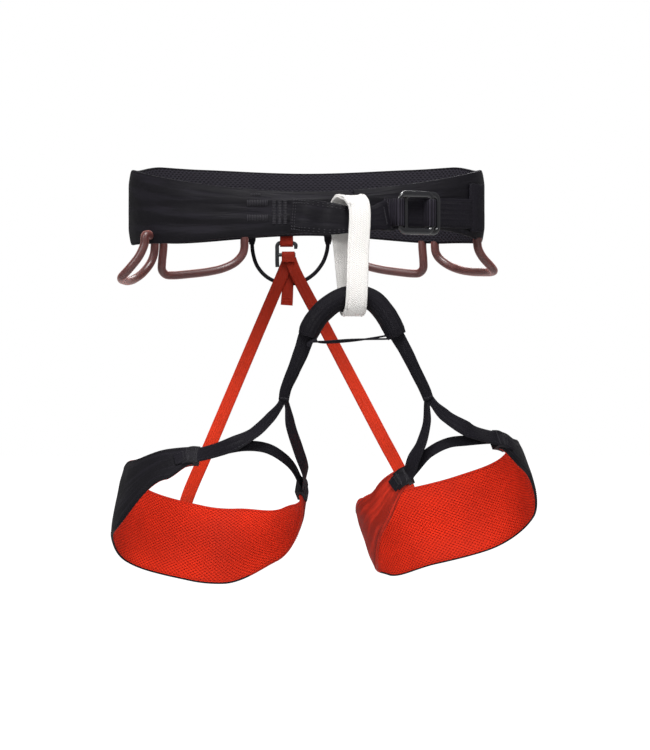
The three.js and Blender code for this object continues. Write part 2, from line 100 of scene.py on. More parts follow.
def glow_for_camera(tree, socket, dim, bright):
    """Sets a strength that is bright where the camera sees it and dim in the light it casts."""
    ray = tree.nodes.new("ShaderNodeLightPath")
    strength = tree.nodes.new("ShaderNodeMapRange")
    strength.inputs["To Min"].default_value = dim
    strength.inputs["To Max"].default_value = bright
    tree.links.new(ray.outputs["Is Camera Ray"], strength.inputs["Value"])
    tree.links.new(strength.outputs[0], socket)


def make_studio():
    """A pale floor far below the harness, a pale room, and soft lamps above and to the sides."""
    scene = bpy.context.scene
    scene.view_settings.view_transform = "Standard"
    world = bpy.data.worlds.new("pale_room")
    world.use_nodes = True
    tree = world.node_tree
    background = tree.nodes["Background"]
    background.inputs["Color"].default_value = (1, 1, 1, 1)
    glow_for_camera(tree, background.inputs["Strength"], ROOM_LIGHT, 1.0)
    scene.world = world
    mesh = bpy.data.meshes.new("floor")
    corners = [(-1, -1), (1, -1), (1, 1), (-1, 1)]
    mesh.from_pydata([(x * FLOOR_HALF, y * FLOOR_HALF, FLOOR_Z) for x, y in corners], [], [(0, 1, 2, 3)])
    floor = bpy.data.objects.new("floor", mesh)
    scene.collection.objects.link(floor)
    pale = bpy.data.materials.new("pale_floor")
    pale.use_nodes = True
    shader = pale.node_tree.nodes["Principled BSDF"]
    shader.inputs["Base Color"].default_value = (0.9, 0.9, 0.9, 1)
    shader.inputs["Roughness"].default_value = 1
    shader.inputs["Specular IOR Level"].default_value = 0
    shader.inputs["Emission Color"].default_value = (1, 1, 1, 1)
    glow_for_camera(pale.node_tree, shader.inputs["Emission Strength"], FLOOR_LIGHT, FLOOR_SEEN)
    mesh.materials.append(pale)
    make_light("top_light", (0.15, -1.0, 1.6), 0.8, 44)
    make_light("left_light", (-1.4, -1.7, 0.9), 0.7, 18)
    make_light("right_light", (1.0, -2.1, 1.0), 0.6, 10)
    make_light("rear_light", (0.3, 1.6, 0.8), 0.9, 8)


# ---- Material nodes ----
class Look:
    """A principled material whose patterns are built from a few small node steps."""

    def __init__(self, name, colour, roughness, specular=0.5):
        self.mat = bpy.data.materials.new(name)
        self.mat.use_nodes = True
        self.tree = self.mat.node_tree
        self.shader = self.tree.nodes["Principled BSDF"]
        self.set("Base Color", (*colour, 1))
        self.set("Roughness", roughness)
        self.set("Specular IOR Level", specular)
        self._uv = None
        self._place = None

    def set(self, socket, value):
        self.shader.inputs[socket].default_value = value

    def node(self, kind, **settings):
        made = self.tree.nodes.new(kind)
        for key, value in settings.items():
            setattr(made, key, value)
        return made

    def put(self, value, socket):
        if isinstance(value, (int, float)):
            socket.default_value = value
        else:
            self.tree.links.new(value, socket)

    def math(self, operation, a, b=0.0, c=0.0):
        made = self.node("ShaderNodeMath", operation=operation)
        for value, socket in zip((a, b, c), made.inputs):
            self.put(value, socket)
        return made.outputs[0]

    def total(self, *terms):
        """The sum of (value, weight) terms."""
        parts = [self.math("MULTIPLY", value, weight) for value, weight in terms]
        out = parts[0]
        for part in parts[1:]:
            out = self.math("ADD", out, part)
        return out

    def uv(self):
        """Metres along a piece and metres across it."""
        if self._uv is None:
            split = self.node("ShaderNodeSeparateXYZ")
            self.tree.links.new(self.node("ShaderNodeTexCoord").outputs["UV"], split.inputs[0])
            self._uv = split.outputs[0], split.outputs[1]
        return self._uv

    def place(self):
        if self._place is None:
            self._place = self.node("ShaderNodeTexCoord").outputs["Object"]
        return self._place

    def noise(self, scale, detail=3.0, roughness=0.55):
        made = self.node("ShaderNodeTexNoise")
        made.inputs["Scale"].default_value = scale
        made.inputs["Detail"].default_value = detail
        made.inputs["Roughness"].default_value = roughness
        self.tree.links.new(self.place(), made.inputs["Vector"])
        return made.outputs[0]

    def ramp(self, value, low, high, out_low=0.0, out_high=1.0):
        made = self.node("ShaderNodeMapRange", interpolation_type="SMOOTHSTEP")
        for number, item in enumerate((value, low, high, out_low, out_high)):
            self.put(item, made.inputs[number])
        return made.outputs[0]

    def wave(self, value, pitch):
        """From 0 to 1 and back, once for each pitch."""
        turned = self.math("SINE", self.math("MULTIPLY", value, 2 * pi / pitch))
        return self.math("MULTIPLY_ADD", turned, 0.5, 0.5)

    def mix(self, share, first, second):
        made = self.node("ShaderNodeMix", data_type="RGBA")
        self.put(share, made.inputs["Factor"])
        for colour, socket in ((first, made.inputs[6]), (second, made.inputs[7])):
            if isinstance(colour, tuple):
                socket.default_value = (*colour[:3], 1)
            else:
                self.tree.links.new(colour, socket)
        return made.outputs[2]

    def finish(self, colour, roughness, height, strength, distance):
        """Wires the patterns to the shader; roughness may be None, for the plain value."""
        self.tree.links.new(colour, self.shader.inputs["Base Color"])
        if roughness is not None:
            self.tree.links.new(roughness, self.shader.inputs["Roughness"])
        bump = self.node("ShaderNodeBump")
        bump.inputs["Strength"].default_value = strength
        bump.inputs["Distance"].default_value = distance
        self.tree.links.new(height, bump.inputs["Height"])
        self.tree.links.new(bump.outputs[0], self.shader.inputs["Normal"])
        return self.mat


def shade(colour, factor):
    return tuple(min(1.0, c * factor) for c in colour)


def webbing_look(
    name, colour, roughness, pitch=0.0011, chevron=0.0022, depth=0.00022, contrast=0.4, painted_shade=None, slant=0.9
):
    """Woven tape: fine cross ribs bent into chevrons, with painted shade between the yarns and painted
    highlight on the ribs.

    Pitch, chevron and depth are in metres; slant is how far the ribs lean. Two heights may be given,
    and then a painted shade darkens the tape from the first up to the second."""
    look = Look(name, colour, roughness, 0.12)
    along, across = look.uv()
    fold = look.math("PINGPONG", across, chevron)
    rib = look.wave(look.total((along, 1), (fold, slant)), pitch)
    yarn = look.wave(across, chevron)
    height = look.total((rib, 1), (yarn, 0.45))
    worn = look.noise(55, 4)
    # painted shade in the grooves between the yarns and painted highlight on the ribs, mixed with uneven worn
    # tone
    shade_and_tone = look.ramp(look.total((height, 0.42), (worn, 0.6)), 0.25, 0.95)
    colour_out = look.mix(shade_and_tone, shade(colour, 1 - contrast), shade(colour, 1 + contrast * 0.6))
    # painted shade: the tape darkens towards its top, where the belt shades the risers
    if painted_shade:
        split = look.node("ShaderNodeSeparateXYZ")
        look.tree.links.new(look.place(), split.inputs[0])
        colour_out = look.mix(look.ramp(split.outputs[2], *painted_shade), colour_out, shade(colour, 0.28))
    rough_out = look.ramp(worn, 0.3, 0.7, roughness - 0.1, roughness + 0.12)
    return look.finish(colour_out, rough_out, height, 0.75, depth)


def cloth_look(name, colour, roughness, pitch=0.00075):
    """Plain-woven shell cloth with soft creasing and long faint pulls along the piece; its colour follows
    them, painted shade in the weave and the creases along with uneven tone.
    """
    look = Look(name, colour, roughness, 0.16)
    along, across = look.uv()
    weave = look.math("MULTIPLY", look.wave(along, pitch), look.wave(across, pitch))
    crease = look.noise(28, 5, 0.62)
    stretched = look.node("ShaderNodeCombineXYZ")
    look.put(look.math("MULTIPLY", along, 16), stretched.inputs[0])
    look.put(look.math("MULTIPLY", across, 130), stretched.inputs[1])
    pulls = look.node("ShaderNodeTexNoise")
    pulls.inputs["Detail"].default_value = 4
    pulls.inputs["Scale"].default_value = 1
    look.put(stretched.outputs[0], pulls.inputs["Vector"])
    pull = look.ramp(pulls.outputs[0], 0.42, 0.68)
    height = look.total((weave, 0.3), (crease, 1.6), (pull, 1.8))
    # painted shade: the colour darkens in the weave's gaps and the creases; the pulls add streaky tone
    shade_and_tone = look.total((weave, 0.3), (crease, 0.5), (pull, 0.45))
    colour_out = look.mix(look.ramp(shade_and_tone, 0.2, 0.95), shade(colour, 0.65), shade(colour, 1.6))
    rough_out = look.ramp(crease, 0.3, 0.7, roughness - 0.08, roughness + 0.14)
    return look.finish(colour_out, rough_out, height, 0.55, 0.0004)


def mesh_look(name, colour, hole_shade_colour, pitch, tall, hole):
    """Spacer mesh: staggered small slots between raised knitted ribs; the slots get a darker colour as
    painted shade.
    """
    depth, roughness = 0.0009, 0.75
    look = Look(name, colour, roughness, 0.12)
    along, across = look.uv()

    def lattice(shift):
        pair = []
        for value, size, weight in ((along, pitch, 0.72), (across, tall, 1.0)):
            cell = look.math("ADD", look.math("DIVIDE", value, size), shift)
            offset = look.math("MULTIPLY", look.math("SUBTRACT", look.math("FRACT", cell), 0.5), weight)
            pair.append(look.math("MULTIPLY", offset, offset))
        return look.math("SQRT", look.math("ADD", *pair))

    distance = look.math("MINIMUM", lattice(0.0), lattice(0.5))
    solid = look.ramp(distance, hole * 0.6, hole * 1.2)
    knit = look.math("MULTIPLY", look.wave(along, pitch / 5), look.wave(across, tall / 3))
    uneven = look.noise(22, 3)
    height = look.total((solid, 1), (knit, 0.16))
    lit = look.mix(look.ramp(uneven, 0.3, 0.7), shade(colour, 0.88), shade(colour, 1.1))
    # painted shade: the slots take the darker colour
    colour_out = look.mix(solid, hole_shade_colour, lit)
    rough_out = look.ramp(uneven, 0.3, 0.7, roughness - 0.08, roughness + 0.12)
    return look.finish(colour_out, rough_out, height, 0.8, depth)


def thread_look(name, colour, roughness=0.5):
    look = Look(name, colour, roughness, 0.25)
    twist = look.noise(900, 2)
    colour_out = look.mix(twist, shade(colour, 0.7), shade(colour, 1.25))
    return look.finish(colour_out, None, twist, 0.4, 0.0001)


def moulded_look(name, colour, roughness, scratch, coat=0.0):
    """Moulded plastic or lacquered metal: faint grain and a few duller, worn patches."""
    look = Look(name, colour, roughness)
    grain = look.noise(700, 3)
    wear = look.noise(60, 5, 0.7)
    colour_out = look.mix(look.ramp(wear, 0.35, 0.75), shade(colour, 0.85), shade(colour, 1.35))
    rough_out = look.ramp(wear, 0.35, 0.7, roughness, roughness + scratch)
    if coat:
        look.set("Coat Weight", coat)
        look.set("Coat Roughness", 0.12)
    return look.finish(colour_out, rough_out, grain, 0.12, 0.0001)


BLACK = (0.0062, 0.0054, 0.0082)
SOFT_BLACK = (0.0088, 0.0077, 0.0115)
RED = (0.72, 0.030, 0.008)
WHITE = (0.74, 0.722, 0.70)
# painted shade on the risers' webbing: darker towards the top, where the belt shades it
RISER_PAINTED_SHADE = (-0.205, -0.05)  # the heights between which the risers' webbing darkens


def gear_loop_look(name):
    """Cloudy, tinted plastic tube, with a painted highlight that lightens its colour at its rims."""
    look = Look(name, (0.24, 0.105, 0.09), 0.28)
    painted_rim = look.node("ShaderNodeLayerWeight")
    painted_rim.inputs["Blend"].default_value = 0.45
    cloud = look.noise(45, 3)
    core = look.mix(cloud, (0.05, 0.014, 0.013), (0.13, 0.036, 0.031))
    # painted highlight: the colour lightens towards the tube's rims, by view angle
    colour_out = look.mix(look.ramp(painted_rim.outputs["Facing"], 0.25, 1.0), core, (0.44, 0.20, 0.18))
    look.set("Subsurface Weight", 0.25)
    look.set("Subsurface Radius", (0.006, 0.003, 0.002))
    look.set("Subsurface Scale", 0.4)
    look.set("Coat Weight", 0.35)
    look.set("Coat Roughness", 0.35)
    rough_out = look.ramp(cloud, 0.3, 0.7, 0.38, 0.5)
    return look.finish(colour_out, rough_out, look.noise(300, 3), 0.1, 0.0002)


# Each look's recipe, a slot name that nothing uses, and the recipe's values.
LOOK_PLANS = {
    "belt_cloth": (cloth_look, "black_fabric", BLACK, 0.55),
    # the second colour is painted shade in the mesh's slots
    "belt_mesh": (
        mesh_look, "black_mesh", (0.022, 0.020, 0.027), (0.010, 0.009, 0.012), 0.0042, 0.0034, 0.22,
    ),
    "edge_tape": (webbing_look, "black_webbing", BLACK, 0.6, 0.0009, 0.0012, 0.00012),
    "black_webbing": (webbing_look, "black_webbing", SOFT_BLACK, 0.62),
    "black_elastic": (webbing_look, "black_webbing", SOFT_BLACK, 0.66, 0.0008, 0.001, 0.00016),
    "tough_cloth": (cloth_look, "black_webbing", BLACK, 0.5, 0.0011),
    "white_webbing": (webbing_look, "white_webbing", WHITE, 0.62, 0.0018, 0.0024, 0.0003, 0.08),
    "red_webbing": (
        webbing_look, "red_webbing", (0.70, 0.040, 0.012), 0.6, 0.001, 0.0019, 0.0002, 0.3, RISER_PAINTED_SHADE,
    ),
    "red_cloth": (cloth_look, "red_fabric", (0.40, 0.020, 0.008), 0.6),
    # the second colour is painted shade in the mesh's slots
    "red_mesh": (mesh_look, "red_mesh", RED, (0.38, 0.011, 0.005), 0.0042, 0.0032, 0.17),
    "red_tape": (webbing_look, "red_webbing", (0.42, 0.02, 0.008), 0.6, 0.0009, 0.0012, 0.00012),
    "black_thread": (thread_look, None, (0.012, 0.011, 0.014)),
    "grey_thread": (thread_look, None, (0.03, 0.028, 0.034)),
    "white_thread": (thread_look, None, (0.66, 0.64, 0.62)),
    "red_thread": (thread_look, None, (0.36, 0.018, 0.007)),
    "lacquered_metal": (moulded_look, "black_metal", (0.006, 0.006, 0.008), 0.14, 0.06, 1.0),
    "black_plastic": (moulded_look, "black_plastic", (0.010, 0.012, 0.015), 0.38, 0.15),
    "cord_sheath": (webbing_look, "black_webbing", BLACK, 0.6, 0.0012, 0.0009, 0.00018),
    # the strong contrast paints highlights on the ribs and shade between them
    "ribbed": (
        webbing_look, "black_webbing", (0.017, 0.015, 0.021), 0.42, 0.0021, 0.05, 0.0009, 0.8, None, 0,
    ),
    "sleeve_cloth": (webbing_look, "black_webbing", BLACK, 0.62, 0.0016, 0.0016, 0.0003),
    "gear_plastic": (gear_loop_look, "gear_plastic"),
}


# ---- Curves, straps and skins ----
def smooth(keys, at):
    """A value that passes smoothly through (place, value) keys."""
    if at <= keys[0][0]:
        return keys[0][1]
    for (p0, v0), (p1, v1) in zip(keys, keys[1:]):
        if at <= p1:
            share = (at - p0) / (p1 - p0)
            return v0 + (v1 - v0) * share * share * (3 - 2 * share)
    return keys[-1][1]


def curve_through(points, closed=False):
    """A centripetal curve through the points; the result takes a share from 0 to 1."""
    count = len(points)
    spans = count if closed else count - 1

    def point(i):
        if closed:
            return points[i % count]
        if i < 0:
            return points[0] * 2 - points[1]
        if i >= count:
            return points[-1] * 2 - points[-2]
        return points[i]

    def at(share):
        place = share * spans
        i = min(int(place), spans - 1)
        w = place - i
        x0, x1, x2, x3 = (point(i + k) for k in (-1, 0, 1, 2))
        d0, d1, d2 = (max(sqrt((b - a).length), 1e-4) for a, b in ((x0, x1), (x1, x2), (x2, x3)))
        t1 = ((x1 - x0) / d0 - (x2 - x0) / (d0 + d1) + (x2 - x1) / d1) * d1
        t2 = ((x2 - x1) / d1 - (x3 - x1) / (d1 + d2) + (x3 - x2) / d2) * d1
        return x1 + t1 * w + (3 * (x2 - x1) - 2 * t1 - t2) * w**2 + (2 * (x1 - x2) + t1 + t2) * w**3

    return at


def lengths(points):
    """How far each point lies along the line through them."""
    far = [0.0]
    for a, b in zip(points, points[1:]):
        far.append(far[-1] + (b - a).length)
    return far


def piece(name, body, look, verts, faces, uvs=None, covers=(), slot=None, sharp=50):
    """A mesh piece that rides on a body, may stand for CAD nodes, and has its look's material.

    Its slot is worked out, its look's unless another is named, but is not used."""
    mesh = bpy.data.meshes.new(name)
    mesh.from_pydata(verts, [], faces)
    if uvs:
        layer = mesh.uv_layers.new(name="UVMap")
        layer.data.foreach_set("uv", [c for pair in uvs for c in pair])
    mesh.materials.append(LOOKS[look])
    mesh.validate()
    mesh.update()
    mesh.shade_smooth()
    mesh.set_sharp_from_angle(angle=radians(sharp))
    made = bpy.data.objects.new(name, mesh)
    bpy.context.scene.collection.objects.link(made)
    if body:
        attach(made, body)
    if covers:
        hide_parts(*covers)
    if slot is None:
        slot = LOOK_PLANS[look][1]
    return made


def skin(rows, wrap=True, closed=False, caps=True):
    """Vertices, faces and metre UVs of a surface through rows of points."""
    verts = [p for row in rows for p in row]
    n, m = len(rows), len(rows[0])
    middles = [sum(row, Vector()) / m for row in rows]
    if closed:
        middles.append(middles[0])
    along = lengths(middles)
    middle_row = rows[n // 2] + ([rows[n // 2][0]] if wrap else [])
    across = lengths(middle_row)
    faces, uvs = [], []
    for i in range(n if closed else n - 1):
        for j in range(m if wrap else m - 1):
            i2, j2 = (i + 1) % n, (j + 1) % m
            faces.append((i * m + j, i * m + j2, i2 * m + j2, i2 * m + j))
            a0, a1, c0, c1 = along[i], along[i + 1], across[j], across[j + 1]
            uvs += [(a0, c0), (a0, c1), (a1, c1), (a1, c0)]
    if caps and wrap and not closed:
        for start, order in ((0, range(m - 1, -1, -1)), ((n - 1) * m, range(m))):
            face = [start + k for k in order]
            faces.append(tuple(face))
            origin = verts[start]
            side = (verts[start + m // 4] - origin).length + 1e-6
            uvs += [((verts[k] - origin).length, side * (k % 2) * 0.2) for k in face]
    return verts, faces, uvs


def flat_section(width, thick, crown=0.0):
    """The outline of a flat tape: two faces and rounded edges, as (across, out) pairs."""
    half, edge = width / 2, thick / 2
    outline = []
    for side in (1, -1):
        for k in range(5):
            share = 1 - k / 2
            bulge = crown * (1 - share * share)
            outline.append((side * share * (half - edge), side * (edge + bulge)))
        for k in (1, 2, 3):
            turn = pi / 4 * k
            outline.append((side * (-(half - edge) - edge * sin(turn)), side * edge * cos(turn)))
    return outline


class Run:
    """The frames along a strap: where its middle is, which way it runs, faces and how wide it is."""

    def __init__(self, keys, steps, closed=False):
        points = [k[0] for k in keys]
        path = curve_through(points, closed)
        spans = len(keys) if closed else len(keys) - 1
        self.stations = []
        for i in range(steps if closed else steps + 1):
            share = i / steps
            at = path(share)
            ahead = path(min(share + NEAR, 1)) - path(max(share - NEAR, 0))
            place = share * spans
            low = min(int(place), spans - 1)
            w = place - low
            w = w * w * (3 - 2 * w)
            a, b = keys[low % len(keys)], keys[(low + 1) % len(keys)]
            along = ahead.normalized()
            across = along.cross(a[1].lerp(b[1], w)).normalized()
            face = across.cross(along).normalized()
            self.stations.append((at, along, across, face, a[2] + (b[2] - a[2]) * w))

    def on(self, share, across=0.0, out=0.0):
        """(point, along, face) at a share of the length, across from -1 to 1 and out in metres."""
        place = share * (len(self.stations) - 1)
        low = min(int(place), len(self.stations) - 2)
        w = place - low
        a, b = self.stations[low], self.stations[low + 1]
        face = a[3].lerp(b[3], w).normalized()
        width = a[4] + (b[4] - a[4]) * w
        at = a[0].lerp(b[0], w) + a[2].lerp(b[2], w) * (across * width / 2) + face * out
        return at, a[1].lerp(b[1], w).normalized(), face


def strap(name, body, look, run, thick, covers=(), closed=False, crown=0, wave=0, slot=None):
    """A woven strap along a run, with rounded edges and, if wave is set, a slight ripple.

    Its thickness, crown and wave are in millimetres."""
    thick, crown, wave = thick * MM, crown * MM, wave * MM
    rows = []
    for at, _, across, face, width in run.stations:
        lift = noise.noise(at * 45) * wave
        pinch = 1 + noise.noise(at * 60 + Vector((5, 0, 0))) * wave * 25
        section = flat_section(width, thick, crown)
        rows.append([at + across * (a * pinch) + face * (o + lift) for a, o in section])
    return piece(name, body, look, *skin(rows, closed=closed), covers=covers, slot=slot)


def rod(name, body, look, path, radius, steps, covers=(), sides=16, swell=None, slot=None):
    """A round bar or tube along a curve, its radius in millimetres; swell gives that a factor."""
    rows = []
    face = None
    for i in range(steps + 1):
        share = i / steps
        at = path(share)
        along = (path(min(share + NEAR, 1)) - path(max(share - NEAR, 0))).normalized()
        if face is None:
            face = along.orthogonal().normalized()
        face = (face - along * face.dot(along)).normalized()
        side = along.cross(face)
        r = radius * MM * (swell(share) if swell else 1)
        turns = [2 * pi * k / sides for k in range(sides)]
        rows.append([at + (face * cos(turn) + side * sin(turn)) * r for turn in turns])
    return piece(name, body, look, *skin(rows), covers=covers, slot=slot)


class Threads:
    """Stitches gathered into one piece: each is a short raised strand with sunken ends.

    Their lengths, radii and pitches are in millimetres."""

    SIDES = 5
    # (share of the length, share of the radius, lift in radii)
    PROFILE = ((-0.5, 0.2, -0.6), (-0.38, 0.85, 0.15), (0, 1, 0.55), (0.38, 0.85, 0.15), (0.5, 0.2, -0.6))

    def __init__(self):
        self.verts = []
        self.faces = []

    def stitch(self, at, along, face, length, radius):
        length, radius = length * MM, radius * MM
        side = along.cross(face).normalized()
        first = len(self.verts)
        for share, grow, lift in self.PROFILE:
            centre = at + along * (share * length) + face * (lift * radius)
            for k in range(self.SIDES):
                turn = 2 * pi * k / self.SIDES
                self.verts.append(centre + (side * cos(turn) + face * sin(turn)) * (radius * grow))
        n = self.SIDES
        for i in range(len(self.PROFILE) - 1):
            for k in range(n):
                a, b = first + i * n + k, first + i * n + (k + 1) % n
                self.faces.append((a, b, b + n, a + n))
        last = first + (len(self.PROFILE) - 1) * n
        self.faces.append(tuple(first + k for k in range(n - 1, -1, -1)))
        self.faces.append(tuple(last + k for k in range(n)))

    def line(self, place, count, length, radius):
        """Stitches at count places; place(share) gives (point, along, face)."""
        for i in range(count):
            at, along, face = place((i + 0.5) / count)
            self.stitch(at, along, face, length, radius)

    def rows(self, run, acrosses, start, span, out, count, length, radius):
        """Rows of stitches along a run, over a span of its length."""
        for across in acrosses:
            self.line(lambda s: run.on(start + span * s, across, out * MM), count, length, radius)

    def tack(self, centre, along, face, long, tall, radius=0.28, pitch=0.62):
        """A bar tack: a dense row of short strands laid across a bar."""
        across = along.cross(face).normalized()
        count = max(3, int(long / pitch))
        for i in range(count):
            shift = ((i + 0.5) / count - 0.5) * long * MM
            lean = along * (pitch * MM * 0.35 * (-1) ** i) + across
            self.stitch(centre + along * shift, lean.normalized(), face, tall, radius)

    def bar(self, run, share, out, long, tall, radius, pitch=0.62, side=1):
        """A bar tack across a run, on its face or, with side -1, on its back."""
        at, along, face = run.on(share, 0, side * out * MM)
        self.tack(at, along.cross(face), face * side, long, tall, radius, pitch)

    def make(self, name, body, look):
        return piece(name, body, look, self.verts, self.faces, sharp=180)


# ---- Waist belt ----
# The belt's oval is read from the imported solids; its edges rise and fall as the solids' do.
# (degrees from the front, millimetres up); the bottom edge differs left and right.
BELT_TOP = [(0, 7.5), (98, 33), (122, 38.5), (142, 38), (180, 36)]
BELT_BOTTOM = [
    (-180, -21), (-125, -30), (-80, -34.5), (-46, -35), (-18, -31), (0, -28), (40, -23), (90, -32),
    (125, -30), (180, -21),
]
BELT_OPEN = 14.6  # degrees: where the belt's two ends meet, behind the tie-in webbing
BELT_HALF = 4.5 * MM
BELT_INSIDE = (
    "waist_outer_shell", "waist_web_strand_upper", "waist_web_strand_lower", "waist_foam_core",
)
belt_low, belt_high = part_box("waist_outer_shell")
BELT_A = (belt_high[0] - belt_low[0]) / 2 - BELT_HALF
BELT_B = (belt_high[1] - belt_low[1]) / 2 - BELT_HALF


def outside(turn):
    angle = radians(turn)
    return Vector((sin(angle) / BELT_A, -cos(angle) / BELT_B, 0)).normalized()


def on_belt(turn, out, z):
    angle = radians(turn)
    return Vector((BELT_A * sin(angle), -BELT_B * cos(angle), z)) + outside(turn) * out


def from_front(turn):
    return (turn + 180) % 360 - 180


def belt_top(turn):
    return smooth(BELT_TOP, abs(from_front(turn))) * MM


def belt_bottom(turn):
    return smooth(BELT_BOTTOM, from_front(turn)) * MM


def belt_height(turn, share):
    """A height on the belt: share is 0 at its bottom edge and 1 at its top edge."""
    low, high = belt_bottom(turn), belt_top(turn)
    return low + (high - low) * share


def belt_face(turn, share, inner=False):
    """How far the belt's face lies from its middle: full in the middle, pinched at the edges,
    quilted inside, and outside wrinkled, most of all where the buckle and the tacks pull."""
    edge = min(share, 1 - share) * 2
    full = BELT_HALF * (0.30 + 0.66 * min(1, edge * 2.4) ** 0.55)
    if inner:
        quilt = 0.15 * MM * sin(radians(turn) * 38) * sin(share * pi)
        return -(full - 0.1 * MM + quilt)
    front = exp(-((abs(from_front(turn)) - 38) / 26) ** 2)
    wrinkle = noise.noise(Vector((turn * 0.09, share * 2.2, 3))) * 0.9
    wrinkle += noise.noise(Vector((turn * 0.3, share * 9 + turn * 0.05, 7))) * 0.35
    level = noise.noise(Vector((turn * 0.03, share * 6.5, 11))) * 2.0 * front
    return full - 0.25 * MM + (wrinkle * (0.22 + 0.35 * front) + level) * MM * sin(share * pi)


def belt_turns(count):
    span = 360 - 1.6
    return [BELT_OPEN + 0.8 + span * i / count for i in range(count + 1)]


def belt_part(name, look, inner, covers):
    """One face of the padded belt, closed down to a plane inside the padding."""
    rows = []
    heights = [0.025 + 0.95 * k / 22 for k in range(23)]
    for d in belt_turns(300):
        deep = -0.6 * MM if inner else -0.4 * MM
        outer = [on_belt(d, belt_face(d, h, inner), belt_height(d, h)) for h in heights]
        back = [on_belt(d, deep, belt_height(d, h)) for h in (heights[-1], heights[0])]
        rows.append(outer + back)
    made = piece(name, "waist", look, *skin(rows), covers=covers)


def belt_edge(name, top):
    """The thin tape rolled over an edge of the belt."""
    rows = []
    sign = 1 if top else -1
    for i, d in enumerate(belt_turns(420)):
        edge = belt_top(d) if top else belt_bottom(d)
        half = 1.75 * MM + 0.07 * MM * sin(i * 1.9)
        row = []
        for k in range(11):
            turn = pi * k / 10
            row.append(on_belt(d, half * cos(turn), edge + sign * (1.2 * sin(turn) - 1.3) * MM))
        low = edge - sign * 2.7 * MM
        row += [on_belt(d, -half * 0.97, low), on_belt(d, half * 0.97, low)]
        rows.append(row if top else row[::-1])
    covers = ("waist_binding_top",) if top else ("waist_binding_bottom",)
    piece(name, "waist", "edge_tape", *skin(rows), covers=covers)


def belt_stitching():
    threads = Threads()
    for top in (True, False):
        for out_side in (1, -1):
            def place(share, top=top, out_side=out_side):
                d = BELT_OPEN + 1.5 + 357 * share
                edge = belt_top(d) - 1.9 * MM if top else belt_bottom(d) + 1.9 * MM
                ahead = on_belt(d + 0.5, 0, 0) - on_belt(d, 0, 0)
                return on_belt(d, out_side * 1.85 * MM, edge), ahead.normalized(), outside(d) * out_side

            threads.line(place, 330, 1.6, 0.16)
    threads.make("waist_edge_stitches", "waist", "grey_thread")


def bar_tacks_on_belt():
    """The tacks that hold the webbing inside the belt, left of the tie-in webbing."""
    threads = Threads()

    def tack_at(x, z, long, tall, upright=False):
        d = -degrees_at(-x)
        along = UP if upright else (on_belt(d + 1, 0, 0) - on_belt(d, 0, 0)).normalized()
        share = (z * MM - belt_bottom(d)) / (belt_top(d) - belt_bottom(d))
        out = belt_face(d, share) + 0.2 * MM
        threads.tack(on_belt(d, out, z * MM), along, outside(d), long, tall, 0.5, 1.3)

    tack_at(-42, 4.8, 9, 2)
    tack_at(-40.3, -2.4, 18, 5.4)
    tack_at(-40.3, -15, 18, 5.4)
    for x in (-26.5, -21.8, -17.1):
        tack_at(x, -10.4, 20, 3.7, upright=True)
    threads.make("waist_bar_tacks", "waist", "grey_thread")


def degrees_at(x):
    """The angle on the front of the belt at a distance x in millimetres to the right."""
    return degrees(asin(x * MM / BELT_A))


# ---- Front of the belt: tie-in webbing, sleeve, buckle, strap tail, keeper ----
TIE_IN_Y = -105  # millimetres: the belay loop and the bridge hang here, in front of the belt
BULGE = -TIE_IN_Y - 84 * cos(radians(BELT_OPEN)) - 0.6
# (degrees, millimetres out from the belt's middle, up, wide)
WEBBING_KEYS = [
    (-4.4, 8.0, -13, 25),
    (-0.5, 8.2, -14, 24),
    (7, BULGE - 2.5, -17, 21),
    (BELT_OPEN, BULGE, -17.5, 20),
    (20.5, BULGE - 3.0, -16, 21),
    (23.4, BULGE - 6.5, -14.5, 25),
    (26.5, 8.4, -13, 27),
    (29.6, 7.7, -12, 24.5),
]


def belt_run(keys, steps):
    places = [(on_belt(d, out * MM, z * MM), outside(d), width * MM) for d, out, z, width in keys]
    return Run(places, steps)


def tie_in():
    run = belt_run(WEBBING_KEYS, 80)
    strap("tie_in_webbing_skin", "waist", "black_webbing", run, 4, ("tie_in_webbing",), crown=0.2, wave=0.3,
          slot=False)
    over = 3.2
    sleeve_keys = [
        (-4.6, 8.0 + over, -12.8, 28),
        (-0.5, 8.2 + over, -13.8, 28.5),
        (7, BULGE - 2.2 + over, -17, 27),
        (13.6, BULGE - 0.1 + over, -18.2, 22),
    ]
    sleeve = belt_run(sleeve_keys, 50)
    strap("tie_in_sleeve_skin", "waist", "tough_cloth", sleeve, 1.3, ("tie_in_sleeve",), crown=0.3, wave=0.5,
          slot=False)
    threads = Threads()
    threads.rows(sleeve, (-0.88, -0.72, 0.72, 0.88), 0.03, 0.94, 0.85, 15, 1.7, 0.4)
    for share in (0.05, 0.11):
        for k in range(11):
            at, along, face = sleeve.on(share, -0.86 + 1.72 * k / 10, 0.9 * MM)
            threads.stitch(at, along.cross(face), face, 1.6, 0.36)
    threads.make("tie_in_sleeve_stitches", "waist", "grey_thread")
    tacks = Threads()
    for share, long, tall in ((0.845, 23, 3.2), (0.735, 15, 1.6)):
        tacks.bar(run, share, 2.2, long, tall, 0.45, 1.2)
    tacks.make("tie_in_webbing_tacks", "waist", "grey_thread")


BUCKLE_TURN = 36.6  # degrees round the belt to the buckle's middle
BUCKLE_Z = -10.5
BUCKLE_HALF = 18.5  # half the frames' height
BUCKLE_THICK = 2.6
SIDE_BAR = 2  # half the width of a frame's upright bars
END_BAR = 2.75  # half the width of its top and bottom bars
GATE_GAP = 0.6
GATE_OUT = BELT_HALF / MM + 5 + BUCKLE_THICK + GATE_GAP


def by_buckle(x, out, z=0.0):
    """A point by the buckle: x along the belt, out from the belt's middle, z from its centre."""
    face = outside(BUCKLE_TURN)
    along = Vector((-face.y, face.x, 0))
    return on_belt(BUCKLE_TURN, out * MM, (BUCKLE_Z + z) * MM) + along * (x * MM)


